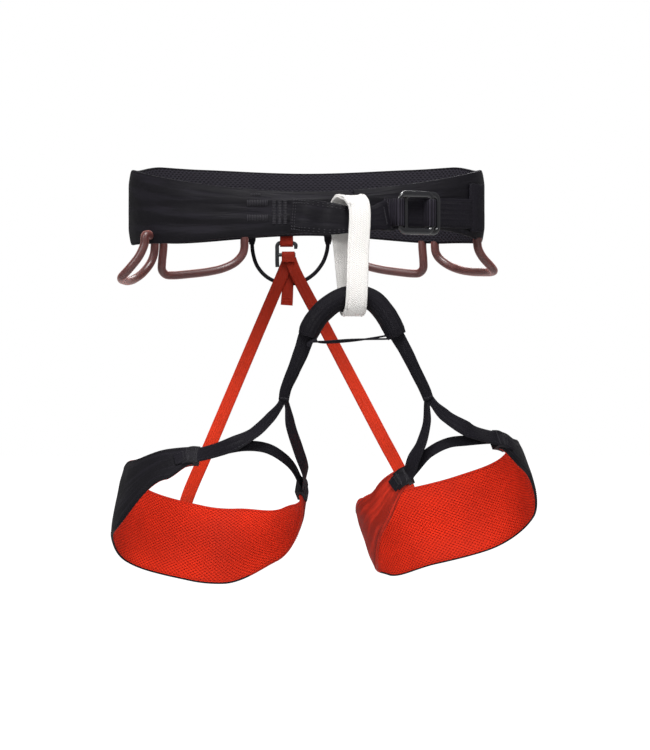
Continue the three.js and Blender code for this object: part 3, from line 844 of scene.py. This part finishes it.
def buckle_frame(node, body, left, right, out):
    """One frame of the buckle: rounded bars round a single window, wider above and below."""
    half, corner = BUCKLE_THICK / 2, 5.0
    wide, high = (right - left) / 2 - SIDE_BAR, BUCKLE_HALF - END_BAR
    rows = []
    for quarter in range(4):
        centre_x = (left + right) / 2 + (wide - corner) * (1 if quarter in (0, 3) else -1)
        centre_z = (high - corner) * (1 if quarter < 2 else -1)
        for k in range(9):
            turn = pi / 2 * (quarter + k / 8)
            bar = SIDE_BAR + (END_BAR - SIDE_BAR) * sin(turn) ** 2
            row = []
            for i in range(16):
                angle = 2 * pi * i / 16
                reach = corner + bar * cos(angle)
                x, z = centre_x + reach * cos(turn), centre_z + reach * sin(turn)
                row.append(by_buckle(x, out + half - half * sin(angle), z))
            rows.append(row)
    piece(node + "_bars", body, "lacquered_metal", *skin(rows, closed=True), covers=(node,))


def buckle_run(keys, width, steps):
    """A run of webbing through the buckle, from (x, out) keys in millimetres."""
    face = outside(BUCKLE_TURN)
    return Run([(by_buckle(x, out), face, width * MM) for x, out in keys], steps)


def buckle():
    buckle_frame("buckle_base_frame", "waist", -13, 21, GATE_OUT - BUCKLE_THICK - GATE_GAP)
    buckle_frame("buckle_gate_frame", "buckle_gate", -20, 14, GATE_OUT)
    top = GATE_OUT + 1.9
    in_keys = [
        (-30, 7.4), (-24.5, 9.6), (-20.5, top + 0.4), (-17.5, top + 0.7), (-15, top - 0.4),
        (-14.3, GATE_OUT - 2.6), (-14.2, 8.2),
    ]
    over = strap("buckle_webbing_in", None, "ribbed", buckle_run(in_keys, 23.4, 30), 1.9, wave=0.15)
    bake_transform(over)
    out_keys = [
        (8.2, 6.2), (8.6, GATE_OUT - 2), (9.6, top), (12, top + 0.8), (14.6, top - 0.4),
        (15.4, GATE_OUT - 1), (15.2, 7.2),
    ]
    wrap = buckle_run(out_keys, 23.4, 26)
    strap("buckle_webbing_out", "buckle_gate", "ribbed", wrap, 1.8, wave=0.12)
    floor_run = buckle_run([(x, 5.9) for x in (-11, -3, 5, 14, 21)], 23, 12)
    strap("buckle_webbing_under", "waist", "black_webbing", floor_run, 1.2)


def strap_tail():
    keys = [
        (40.5, 6.2, -9.5, 24.6), (44.5, 6.4, -9.5, 25), (56, 6.2, -9.3, 25.3), (68, 6.0, -8.8, 26),
        (77.6, 5.5, -8.5, 26),
    ]
    run = belt_run(keys, 60)
    strap("strap_tail_skin", "waist", "black_webbing", run, 1.8, ("waist_strap_tail",), wave=0.25, slot=False)
    threads = Threads()
    threads.rows(run, (-0.8, 0.8), 0.02, 0.96, 1.0, 44, 1.3, 0.15)
    threads.make("strap_tail_stitches", "waist", "black_thread")
    strap_keeper()


KEEPER_START, KEEPER_SPAN = 64, 13  # degrees round the belt
KEEPER_LOW, KEEPER_HIGH = -24.2, 17.4


def strap_keeper():
    """The elastic sleeve round the strap tail, pinched in its middle and turned in at its hems."""
    rows = []
    for i in range(34):
        share = i / 33
        d = KEEPER_START + KEEPER_SPAN * share
        grip = 0.5 * sin(pi * share) + 0.12 * sin(i * 2.4)
        low, high = (KEEPER_LOW + grip) * MM, (KEEPER_HIGH - grip) * MM
        face = 8.2 - 2.4 * abs(2 * share - 1) ** 3
        loop = [on_belt(d, (face - grip * 0.3) * MM, low + (high - low) * k / 10) for k in range(11)]
        turned = ((face - 0.6, 0.4), (6, 0.6), (5.2, 0.4))
        loop += [on_belt(d, out * MM, high + tip * MM) for out, tip in turned]
        loop += [on_belt(d, 4.7 * MM, high + (low - high) * k / 6) for k in range(7)]
        loop += [on_belt(d, out * MM, low - tip * MM) for out, tip in turned[::-1]]
        rows.append(loop)
    piece("strap_keeper_skin", "waist", "black_elastic", *skin(rows), covers=("strap_keeper",))


# ---- Hanging loops ----
LOOP_TOP_RADIUS, LOOP_BOTTOM_RADIUS = 9.2, 12.6
LOOP_TOP = 2.5 - 2 - LOOP_TOP_RADIUS
LOOP_BOTTOM = -84.2
LOOP_X = 37
LOOP_WIDTH = 18


def belay_keys():
    """The loop's keys: a small bend at the top, a wider one below, a little askew throughout."""
    keys = []

    def key(angle, radius, z):
        c, s = cos(radians(angle)), sin(radians(angle))
        low = (LOOP_TOP - z) / (LOOP_TOP - LOOP_BOTTOM)
        skew = 8 + (3 - 8) * low
        at = mm(LOOP_X + 2.5 * low - skew * c, TIE_IN_Y + radius * c, z + radius * s)
        keys.append((at, Vector((0, c, s)), LOOP_WIDTH * MM))

    middle = (LOOP_TOP_RADIUS + LOOP_BOTTOM_RADIUS) / 2
    for angle in (0, 45, 90, 135, 180):
        key(angle, LOOP_TOP_RADIUS, LOOP_TOP)
    key(180, middle, (LOOP_TOP + LOOP_BOTTOM) / 2)
    for angle in (180, 225, 270, 315, 360):
        key(angle, LOOP_BOTTOM_RADIUS, LOOP_BOTTOM)
    key(0, middle, (LOOP_TOP + LOOP_BOTTOM) / 2)
    return keys


def belay_loop():
    keys = belay_keys()
    for name, out in (("outer", 1.02), ("inner", -1.02)):
        ply = [(at + face * (out * MM), face, width) for at, face, width in keys]
        run = Run(ply, 150, closed=True)
        covers = ("belay_loop",) if name == "outer" else ()
        strap("belay_loop_" + name + "_ply", "belay_loop", "white_webbing", run, 1.95, covers, closed=True,
              crown=0.1, wave=0.12)
    run = Run(keys, 150, closed=True)
    threads = Threads()
    threads.rows(run, (-0.8, 0.8), 0, 1, 2.12, 118, 1.5, 0.2)
    front_middle = 11.5 / 12  # of the way round the loop's twelve keys
    for row in range(5):
        threads.bar(run, front_middle + (row - 2) * 0.021, 2.12, 11.5, 2.6, 0.24, 0.6)
    threads.make("belay_loop_stitches", "belay_loop", "white_thread")


# (share of the way from the front end to the rear one, share of the drop)
GEAR_SHAPE = [
    (0, 0), (-0.005, 0.22), (-0.01, 0.5), (0, 0.8), (0.055, 0.96), (0.14, 1), (0.35, 0.99),
    (0.58, 0.95), (0.76, 0.86), (0.9, 0.68), (0.98, 0.42), (1, 0.2), (1, 0),
]
GEAR_RADIUS = 3.8


def gear_loop(name, start, end, drop, splay, on_face=False):
    """A moulded tube with a low, sharp front corner and an easy rear one, sewn under the belt.

    With on_face its front end is sewn to the belt's outer face instead."""
    a, b = (on_belt(d, 0.5 * MM, belt_bottom(d) - 2.9 * MM) for d in (start, end))
    first = a + UP * (5 * MM)
    if on_face:
        a = on_belt(start, BELT_HALF + (GEAR_RADIUS + 0.6) * MM, belt_bottom(start) + 7 * MM)
        first = a + outside(start) * (-7 * MM) + UP * (0.5 * MM)
    outward = outside((start + end) / 2) * (splay * MM)
    points = [first]
    for share, down in GEAR_SHAPE:
        at = a.lerp(b, share) + outward * down**2
        at.z = a.z + (b.z - a.z) * share - drop * MM * down
        points.append(at)
    points.append(b + UP * (5 * MM))
    rod(name + "_tube", name, "gear_plastic", curve_through(points), GEAR_RADIUS * 0.99, 120, (name,), 20)


HAUL_ROUTE = [
    (-51, -25.5), (-50, -36), (-46, -48), (-37, -58), (-24, -63.5), (-8, -63), (5, -56), (14, -45),
    (18, -34), (19, -25.5),
]
HAUL_Y = 98.4


def haul_loop():
    """The black cord under the back of the belt, with both ends sewn in."""
    path = curve_through([mm(x, HAUL_Y, z) for x, z in HAUL_ROUTE])
    line = [path(i / 120) for i in range(121)]
    made = rod("haul_loop_cord", "haul_loop", "cord_sheath", path, 1.8, 120, ("haul_loop",), 14)
    for side, (x, z) in (("left", HAUL_ROUTE[0]), ("right", HAUL_ROUTE[-1])):
        at = mm(x, HAUL_Y, z)
        rows = ((-1.2, 7, 8), (-0.6, 2, 7), (0, -2.4, 5))
        keys = [(at + mm(0, y, up), BACK, width * MM) for y, up, width in rows]
        strap("haul_loop_tab_" + side, "haul_loop", "black_webbing", Run(keys, 10), 4.4)


# ---- Lower tie-in bridge ----
ARCH = [
    (1.5, -115.5), (5, -107), (13, -96), (26, -86), (42, -81.5), (56, -85.5), (66, -96), (72, -106),
    (76.5, -115.5),
]
BRIDGE_RADIUS = 9.3
# (x, y, z, width), from the sleeve's hem down
BRIDGE_LEGS = {
    "left": [
        (0.3, TIE_IN_Y, -116.6, 14), (-3.5, -104, -128, 13), (-10.5, -101, -145, 11), (-16.8, -98, -160, 9.5),
        (-18.6, -96.5, -169.4, 9),
    ],
    "right": [
        (77.5, TIE_IN_Y, -116.6, 12), (84, -104, -128, 11), (92.5, -101, -145, 10), (100, -98, -160, 9.5),
        (103.3, -96.5, -168.4, 9),
    ],
}


def bridge():
    path = curve_through([mm(x, TIE_IN_Y, z) for x, z in ARCH])

    def swell(share):
        ends = 1 - 0.10 * exp(-(share / 0.05) ** 2) - 0.10 * exp(-((1 - share) / 0.05) ** 2)
        return ends * (0.985 + 0.02 * noise.noise(Vector((share * 16, 1, 2))))

    rod("bridge_sleeve_skin", "leg_bridge", "sleeve_cloth", path, BRIDGE_RADIUS, 140, ("bridge_sleeve",), 30,
        swell, "rubber_sleeve")

    def frame_at(share):
        """The sleeve's middle there, the way it runs, and the way to its outer side."""
        along = (path(share + NEAR) - path(share - NEAR)).normalized()
        return path(share), along, along.cross(BACK).normalized()

    threads = Threads()
    for share in (0.022, 0.978):
        hem, along, side = frame_at(share)
        radius = BRIDGE_RADIUS * swell(share) * MM + 0.1 * MM
        for k in range(26):
            turn = 2 * pi * k / 26
            out = BACK * cos(turn) + side * sin(turn)
            threads.stitch(hem + out * radius, along.cross(out).normalized(), out, 1.6, 0.17)
    for k in range(60):
        share = 0.03 + 0.94 * k / 59
        at, along, side = frame_at(share)
        out = (side * -0.55 + FRONT * 0.83).normalized()
        at += out * (BRIDGE_RADIUS * swell(share) * MM + 0.08 * MM)
        threads.stitch(at, along, out, 1.5, 0.15)
    threads.make("bridge_sleeve_stitches", "leg_bridge", "black_thread")
    for side, keys in BRIDGE_LEGS.items():
        start = mm(*keys[0][:3])
        up = (start - mm(*keys[1][:3])).normalized()
        points = [(start + up * (4 * MM), FRONT, 13 * MM)]
        points += [(mm(x, y, z), FRONT, w * MM) for x, y, z, w in keys]
        run = Run(points, 60)
        strap("bridge_leg_" + side + "_skin", "leg_bridge", "sleeve_cloth", run, 4.6, ("bridge_leg_" + side,),
              crown=0.35, wave=0.35)
        hem = Threads()
        for share in (0.12, 0.955):
            width = run.stations[int(share * 60)][4] / MM
            hem.bar(run, share, 2.7, width * 0.72, 1.7, 0.2)
        hem.make("bridge_leg_" + side + "_tacks", "leg_bridge", "grey_thread")
    keeper_cord()


KEEPER_ROUTE = [
    (1, -108.6, -118.2), (12, -109.6, -120.4), (38, -110, -119), (60, -109.6, -117.2), (75.5, -108.6, -115.8),
]


def keeper_cord():
    """The thin doubled cord across the bridge: two strands that cross, with a loose left end."""
    route = curve_through([Vector(p) for p in KEEPER_ROUTE])
    for number, side in enumerate((1, -1)):
        points = []
        for i in range(21):
            share = i / 20
            x, y, z = route(share)
            apart = side * (0.75 + 1.5 * abs(2 * share - 1) ** 3) * cos(share * 2.4 * pi)
            points.append(mm(x, y + side * 0.25 - 0.5 * sin(share * 9), z + apart))
        covers = ("bridge_keeper_cord",) if number == 0 else ()
        name = f"bridge_keeper_cord_{number + 1}"
        rod(name, "leg_bridge", "cord_sheath", curve_through(points), 0.8, 80, covers, 8)
    end_at = mm(5.5, -110.6, -119.6)
    tag = [
        (end_at + mm(x, y, z), FRONT, width * MM)
        for x, y, z, width in ((4, 0.3, 1.4, 2.2), (0, 0, 0, 3.2), (-2.4, 0, -2.4, 3.6), (-3.6, 0.2, -4.4, 3))
    ]
    strap("bridge_keeper_tag", "leg_bridge", "black_webbing", Run(tag, 16), 1.2)


# ---- Leg loops ----
# a and b are a loop's half axes and middle its midline's height, in millimetres; the rest is in
# degrees. start and end are the angles of the outer and the inner tip.
LEGS = {
    "left": {
        "outward": -1, "centre": mm(-84, 5, -261), "a": 80, "b": 87,
        "pitch": 29.4, "roll": 9, "start": 13, "end": 288,
        "middle": [(0, 0), (0.06, -7), (0.18, -20), (0.33, -11), (0.58, 0), (0.84, 6), (1, 16)],
    },
    "right": {
        "outward": 1, "centre": mm(119.4, 5, -250), "a": 76.5, "b": 88,
        "pitch": 20.6, "roll": 19, "start": 48, "end": 339,
        "middle": [(0, 9), (0.08, -1), (0.27, -7), (0.52, 0), (0.67, -8), (0.79, -22), (0.89, -16), (1, -3)],
    },
}
PAD_HEIGHT = [(0, 17), (0.06, 30), (0.23, 68), (0.4, 77), (0.66, 77), (0.8, 55), (0.92, 33), (1, 18)]
LEG_HALF = 3.1 * MM  # half the padding's thickness
PANEL = 29 / 40  # the outer shell gives way to the inner panel at this share of the loop


def on_leg(leg, share, across, out):
    """A place on a leg pad: share from the outer tip to the inner one, across from -1 to 1."""
    angle = radians(leg["start"] + (leg["end"] - leg["start"]) * share)
    side, a, b = leg["outward"], leg["a"] * MM, leg["b"] * MM
    radial = Vector((side * sin(angle) * b, -cos(angle) * a, 0)).normalized()
    z = (smooth(leg["middle"], share) + across * smooth(PAD_HEIGHT, share) / 2) * MM
    at = Vector((side * a * sin(angle), -b * cos(angle), z)) + radial * out
    pitch, roll = -radians(leg["pitch"]), -side * radians(leg["roll"])
    at = Vector((at.x, at.y * cos(pitch) - at.z * sin(pitch), at.y * sin(pitch) + at.z * cos(pitch)))
    at = Vector((at.x * cos(roll) + at.z * sin(roll), at.y, -at.x * sin(roll) + at.z * cos(roll)))
    return at + leg["centre"]


def leg_face(leg, share, across=0.0):
    return (on_leg(leg, share, across, 1 * MM) - on_leg(leg, share, across, 0)).normalized()


def leg_along(leg, share, across=0.0):
    return (on_leg(leg, share + NEAR, across, 0) - on_leg(leg, share - NEAR, across, 0)).normalized()


def pad_out(leg, share, across, inner):
    """How far a pad's face lies from its middle: crowned, creased, and thin at its edges."""
    edge = 1 - abs(across)
    full = LEG_HALF * (0.26 + 0.62 * min(1, edge * 2.2) ** 0.55)
    tips = min(1, share / 0.08, (1 - share) / 0.08)
    full *= 0.8 + 0.2 * tips
    where = on_leg(leg, share, across, 0) / MM
    if inner:
        soft = noise.noise(where * 0.028) * 0.7 + noise.noise(where * 0.07) * 0.22
        return -full + soft * MM * 0.5 * min(1, edge * 3)
    crease = noise.noise(Vector((where.x * 0.03, where.y * 0.03, where.z * 0.07))) * 0.9
    crease += noise.noise(where * 0.11) * 0.3
    return full + crease * MM * 0.5 * min(1, edge * 3)


def pad_piece(body, name, look, rows, covers):
    """A piece of a leg pad; it and the CAD nodes it stands for are named after their body."""
    covers = [f"{body}_{cover}" for cover in covers]
    return piece(f"{body}_{name}", body, look, *skin(rows), covers=covers)


def pad_part(leg, body, name, look, start, end, steps, inner, covers):
    """One face of a leg pad, closed down to a plane inside the padding."""
    rows = []
    heights = [-0.97 + 1.94 * k / 22 for k in range(23)]
    deep = (-0.1 if inner else -0.2) * MM
    for i in range(steps + 1):
        share = start + (end - start) * i / steps
        outer = [on_leg(leg, share, h, pad_out(leg, share, h, inner)) for h in heights]
        back = [on_leg(leg, share, h, deep) for h in (heights[-1], heights[0])]
        rows.append(outer + back)
    made = pad_piece(body, name, look, rows, covers)


def pad_edge(leg, body, name, side, start, end, look, covers=()):
    """The thin tape rolled over a stretch of a pad's long edge."""
    rows = []
    for i in range(201):
        share = start + (end - start) * i / 200
        height = smooth(PAD_HEIGHT, share)
        half = 0.95 * MM + 0.05 * MM * sin(i * 2.1)
        row = []
        for k in range(9):
            turn = pi * k / 8
            row.append(on_leg(leg, share, side * (1 + 2 * (0.9 * sin(turn) - 1) / height), half * cos(turn)))
        low = side * (1 - 2 * 1.9 / height)
        row += [on_leg(leg, share, low, -half * 0.96), on_leg(leg, share, low, half * 0.96)]
        rows.append(row)
    pad_piece(body, name, look, rows, covers)


def leg_loop(side):
    leg = LEGS[side]
    body = "leg_" + side
    inside = ("outer_shell", "web_strand", "foam_core")
    pad_part(leg, body, "shell_skin", "belt_cloth", 0.004, PANEL + 0.001, 150, False, inside)
    pad_part(leg, body, "panel_skin", "red_cloth", PANEL, 0.996, 64, False, ("inner_panel",))
    pad_part(leg, body, "liner_skin", "red_mesh", 0.002, 0.998, 210, True, ("mesh_liner",))
    pad_edge(leg, body, "edge_top", 1, 0, 1, "red_tape", ("binding_top",))
    pad_edge(leg, body, "edge_bottom", -1, 0, PANEL, "edge_tape", ("binding_bottom",))
    pad_edge(leg, body, "edge_bottom_panel", -1, PANEL, 1, "red_tape")
    leg_stitching(leg, body)
    leg_straps(side, leg, body)


def leg_stitching(leg, body):
    for inner, look in ((False, "black_thread"), (True, "red_thread")):
        edge = Threads()
        for across_side in (1, -1):
            def place(share, across_side=across_side, inner=inner):
                s = 0.01 + 0.98 * share
                across = across_side * (1 - 2 * 2.6 / smooth(PAD_HEIGHT, s))
                sign = -1 if inner else 1
                out = pad_out(leg, s, across, inner) + sign * 0.08 * MM
                face = leg_face(leg, s) * sign
                return on_leg(leg, s, across, out), leg_along(leg, s, across), face

            edge.line(place, 170, 1.6, 0.18)
        edge.make(body + ("_liner" if inner else "_shell") + "_edge_stitches", body, look)
    seam = Threads()
    for offset in (-0.006, 0.008):
        share = PANEL + offset
        for k in range(34):
            across = -0.86 + 1.72 * k / 33
            out = pad_out(leg, share, across, False) + 0.12 * MM
            up = (on_leg(leg, share, across + 0.01, 0) - on_leg(leg, share, across, 0)).normalized()
            seam.stitch(on_leg(leg, share, across, out), up, leg_face(leg, share), 1.4, 0.17)
    seam.make(body + "_seam_stitches", body, "red_thread")


# (place, way it faces, width) from the bridge towards the pad; the elastic band's is from tip to tip
LEG_STRAPS = {
    "left": {
        "outer": [
            ((-21.2, -97, -172.8), (0.5, -0.5, 0.7), 6), ((-31, -94, -185), (0.5, -0.6, 0.6), 9),
            ((-44, -92, -197), (0.4, -0.6, 0.7), 11), ((-62, -90.5, -206.5), (0.1, -1, 0.3), 13),
        ],
        "inner": [
            ((-16, -94.6, -172), (1, -0.7, 0), 6), ((-13, -88, -190), (1, -0.8, 0), 12),
            ((-6, -68, -213), (1, -0.8, 0), 13), ((-0.5, -45, -232), (1, -0.6, 0), 13),
        ],
        "elastic": [
            ((-52, -87, -208), (0, -1, 0.2), 9),
            ((-33, -84, -210), (0.2, -1, 0.2), 9), ((-17, -72, -220), (0.5, -0.8, 0.2), 9),
        ],
    },
    "right": {
        "outer": [
            ((107.6, -96.4, -172), (-0.5, -0.6, 0.5), 7), ((118, -94, -182.5), (-0.3, -0.8, 0.5), 11),
            ((137, -88, -194), (-0.1, -0.9, 0.4), 14),
        ],
        "inner": [
            ((102.2, -95, -171.4), (-0.9, -0.7, 0), 7), ((102, -93, -188), (-0.9, -0.8, 0), 9),
            ((97.5, -88.5, -206), (-0.7, -0.9, 0), 10), ((91, -83.5, -220), (-0.5, -1, 0), 12),
        ],
        "elastic": [
            ((104, -83.5, -214), (-0.2, -1, 0.2), 9),
            ((120, -86, -205.5), (0, -1, 0.2), 9), ((136, -82.5, -203.5), (0.2, -1, 0.1), 9),
        ],
    },
}


def strap_keys(rows):
    return [(mm(*at), Vector(face).normalized(), width * MM) for at, face, width in rows]


def tip_key(leg, share, out, width):
    """A strap key that lies on the pad near one of its tips."""
    return (on_leg(leg, share, 0, out * MM), leg_face(leg, share), width * MM)


CUFF_HALF = 7.6 * MM
STRAP_OUT = 2.2  # how far the straps on a pad's tips lie from its middle
CUFF_OUT = STRAP_OUT + 1.5


def leg_straps(side, leg, body):
    """The straps run from inside the bridge's end to the pad's tips, where cuffs hold them."""
    straps = LEG_STRAPS[side]
    x, y, z, _ = BRIDGE_LEGS[side][-1]
    root = mm(x, y, z + 3)
    threads = Threads()
    plans = {
        "outer": ((-0.012, 0.015, 0.04), (13.5, 12.5, 12)),
        "inner": ((1.01, 0.985, 0.965), (12.5, 12.5, 12)),
    }
    for which, (shares, widths) in plans.items():
        tips = [tip_key(leg, s, STRAP_OUT + 0.8, width) for s, width in zip(shares, widths)]
        keys = [(root, FRONT, 6 * MM)] + strap_keys(straps[which]) + tips
        run = Run(keys, 90)
        strap(f"{body}_strap_{which}_skin", body, "black_webbing", run, 1.9, (f"{body}_strap_{which}",),
              crown=0.15, wave=0.3)
        threads.rows(run, (-0.7, 0.7), 0.1, 0.86, 1.0, 40, 1.3, 0.14)
        for k in range(6):
            threads.bar(run, 0.74 + 0.03 * k, 1.1, 8.5, 1.5, 0.2)
    ends = ((0.02, -0.01), (0.985, 1.01))
    tips = [[tip_key(leg, s, STRAP_OUT - 0.4, 10) for s in shares] for shares in ends]
    first, last = tips if side == "left" else tips[::-1]
    run = Run(first + strap_keys(straps["elastic"]) + last[::-1], 90)
    strap(f"{body}_elastic_skin", body, "black_elastic", run, 1.3, (f"{body}_elastic_band",), wave=0.35)
    for which, start, end in (("outer", -0.012, 0.022), ("inner", 1.012, 0.978)):
        leg_cuff(leg, body, which, start, end, threads)
    threads.make(f"{body}_strap_stitches", body, "grey_thread")


def leg_cuff(leg, body, which, start, end, threads):
    """A short flat sleeve over a pad's tip and the straps sewn there, with two tacks on it."""
    rows = []
    for i in range(17):
        share = start + (end - start) * i / 16
        puff = 1 + 0.10 * sin(pi * i / 16)
        height = max(smooth(PAD_HEIGHT, share), 17) * MM / 2
        row = []
        for k in range(24):
            turn = 2 * pi * k / 24
            across = max(-1, min(1, 1.4 * cos(turn))) * CUFF_HALF / height
            out = max(-1, min(1, 1.9 * sin(turn))) * CUFF_OUT * puff * MM
            row.append(on_leg(leg, share, across, out))
        rows.append(row)
    pad_piece(body, f"cuff_{which}_skin", "tough_cloth", rows, (f"cuff_{which}",))
    middle = (start + end) / 2
    for offset in (-0.008, 0.008):
        share = middle + offset
        face = leg_face(leg, share)
        at = on_leg(leg, share, 0, CUFF_OUT * 1.09 * MM)
        threads.tack(at, leg_along(leg, share).cross(face), face, 12, 1.7)


# ---- Rear risers ----
# Millimetres: the clip's place, the bar its tab hangs on, and the lower bar that holds the eye.
CLIP_X, CLIP_Y, BAR_Z, LOW_Z = -19, 88.5, -27.5, -38


def riser_run(side, start_x, y, turn):
    """A riser's run, from the clip's eye to the back of a leg loop at an angle round it."""
    leg = LEGS[side]
    share = (turn - leg["start"]) / (leg["end"] - leg["start"])
    out = LEG_HALF + 2.4 * MM
    edge, tip = on_leg(leg, share, 1.1, out), on_leg(leg, share, 0.62, out)
    face = leg_face(leg, share)
    start = mm(start_x, y, LOW_Z - 7.6)
    keys = [(mm(CLIP_X + 1.6 + (start_x - CLIP_X) * 0.5, CLIP_Y + 0.4, LOW_Z - 3.5), BACK, 10.5 * MM)]
    keys += [(start.lerp(edge, s), BACK, w * MM) for s, w in ((0.03, 11), (0.3, 11.5), (0.75, 12))]
    keys += [(edge, face, 12.5 * MM), (tip, face, 12.5 * MM)]
    return Run(keys, 110)


def risers():
    threads = Threads()
    for side, shift, back, turn in (("left", 0.5, 2.4, 162), ("right", 4, 0, 198)):
        run = riser_run(side, CLIP_X + shift, CLIP_Y + back, turn)
        strap("riser_" + side + "_skin", "risers", "red_webbing", run, 1.5, ("riser_" + side,), crown=0.12,
              wave=0.25)
        threads.rows(run, (-0.62, 0.62), 0.955, 0.04, 0.8, 7, 1.2, 0.16)
        for share in (0.957, 0.992):
            threads.bar(run, share, 0.85, 9.5, 1.5, 0.2)
    tail_rows = ((2, 3.6, LOW_Z - 3, 10), (2.6, 4.5, -50, 10), (1.5, 5.0, -62, 10), (0, 5.6, -84, 11))
    tail = Run([(mm(CLIP_X + x, CLIP_Y + y, z), BACK, width * MM) for x, y, z, width in tail_rows], 40)
    strap("riser_tail_skin", "risers", "red_webbing", tail, 1.5, ("riser_tail",), wave=0.3)
    for share in (0.9, 0.94):
        threads.bar(tail, share, 0.8, 8.5, 1.4, 0.18, side=-1)
    threads.make("riser_stitches", "risers", "red_thread")
    clip_and_eyes()


def wrapped_loop(name, body, x, z, direction, hole, length, node):
    """Webbing folded over a bar: up one side, round, and down the other."""
    width = 12
    radius = hole + 0.75

    def side_key(side, share):
        at = mm(x, CLIP_Y + side * (radius - 0.25 * share), z + direction * length * share)
        return at, BACK * side, width * MM

    keys = [side_key(1, 1), side_key(1, 0.5)]
    for k in range(7):
        turn = pi * k / 6
        at = mm(x, CLIP_Y + radius * cos(turn), z - direction * radius * sin(turn))
        keys.append((at, Vector((0, cos(turn), -direction * sin(turn))), width * MM))
    keys += [side_key(-1, 0.5), side_key(-1, 1)]
    strap(name, body, "red_webbing", Run(keys, 50), 1.3, (node,))


def clip_and_eyes():
    """The open plastic hook, the tab it hangs on, and the eye that the risers are sewn into."""
    wrapped_loop("rear_tab_skin", "waist", CLIP_X, BAR_Z, 1, 1.9, 8, "rear_riser_tab")
    wrapped_loop("riser_eye_skin", "risers", CLIP_X + 1.6, LOW_Z, -1, 1.7, 6.5, "riser_top_eye")
    bar_radius = 1.75
    spine = [
        (-27.4, -49.2), (-27.6, -44), (-27.6, -34), (-27.4, -29.2), (-25.6, -27.3), (-19, -27.3),
        (-12.6, -27.4), (-10.7, -28.8), (-10.6, -32.6),
    ]
    hook = curve_through([mm(x, CLIP_Y, z) for x, z in spine])
    rod("riser_clip_hook", "risers", "black_plastic", hook, bar_radius, 90, ("riser_clip",), 12,
        lambda s: 1.06 - 0.25 * max(0, (s - 0.9) / 0.1))
    bar = curve_through([mm(x, CLIP_Y, LOW_Z) for x in (-28.2, -24, -16, -10.8)])
    rod("riser_clip_bar", "risers", "black_plastic", bar, bar_radius, 20, (), 12,
        lambda s: 1.0 + 0.12 * exp(-((1 - s) / 0.08) ** 2))
    plate = [
        (mm(-27.6, CLIP_Y, z), Vector((-1, 0, 0)), width * MM)
        for z, width in ((-48.5, 3.4), (-44, 5), (-36, 5.4), (-30, 4.6))
    ]
    strap("riser_clip_rib", "risers", "black_plastic", Run(plate, 20), 2.2)


# ---- Everything ----
make_camera()
LOOKS = {name: recipe(name, *values) for name, (recipe, _, *values) in LOOK_PLANS.items()}
haul_loop()
make_studio()
belt_part("waist_belt_skin", "belt_cloth", False, BELT_INSIDE)
belt_part("waist_liner_skin", "belt_mesh", True, ("waist_mesh_liner",))
belt_edge("waist_edge_top", True)
belt_edge("waist_edge_bottom", False)
belt_stitching()
bar_tacks_on_belt()
tie_in()
buckle()
strap_tail()
belay_loop()
gear_loop("gear_loop_front_left", -60, -117, 36, 22, True)
gear_loop("gear_loop_rear_left", -122.5, -158, 26, 5)
gear_loop("gear_loop_front_right", 77, 131, 24, 20)
gear_loop("gear_loop_rear_right", 137, 166, 25, 4)
bridge()
leg_loop("left")
leg_loop("right")
risers()
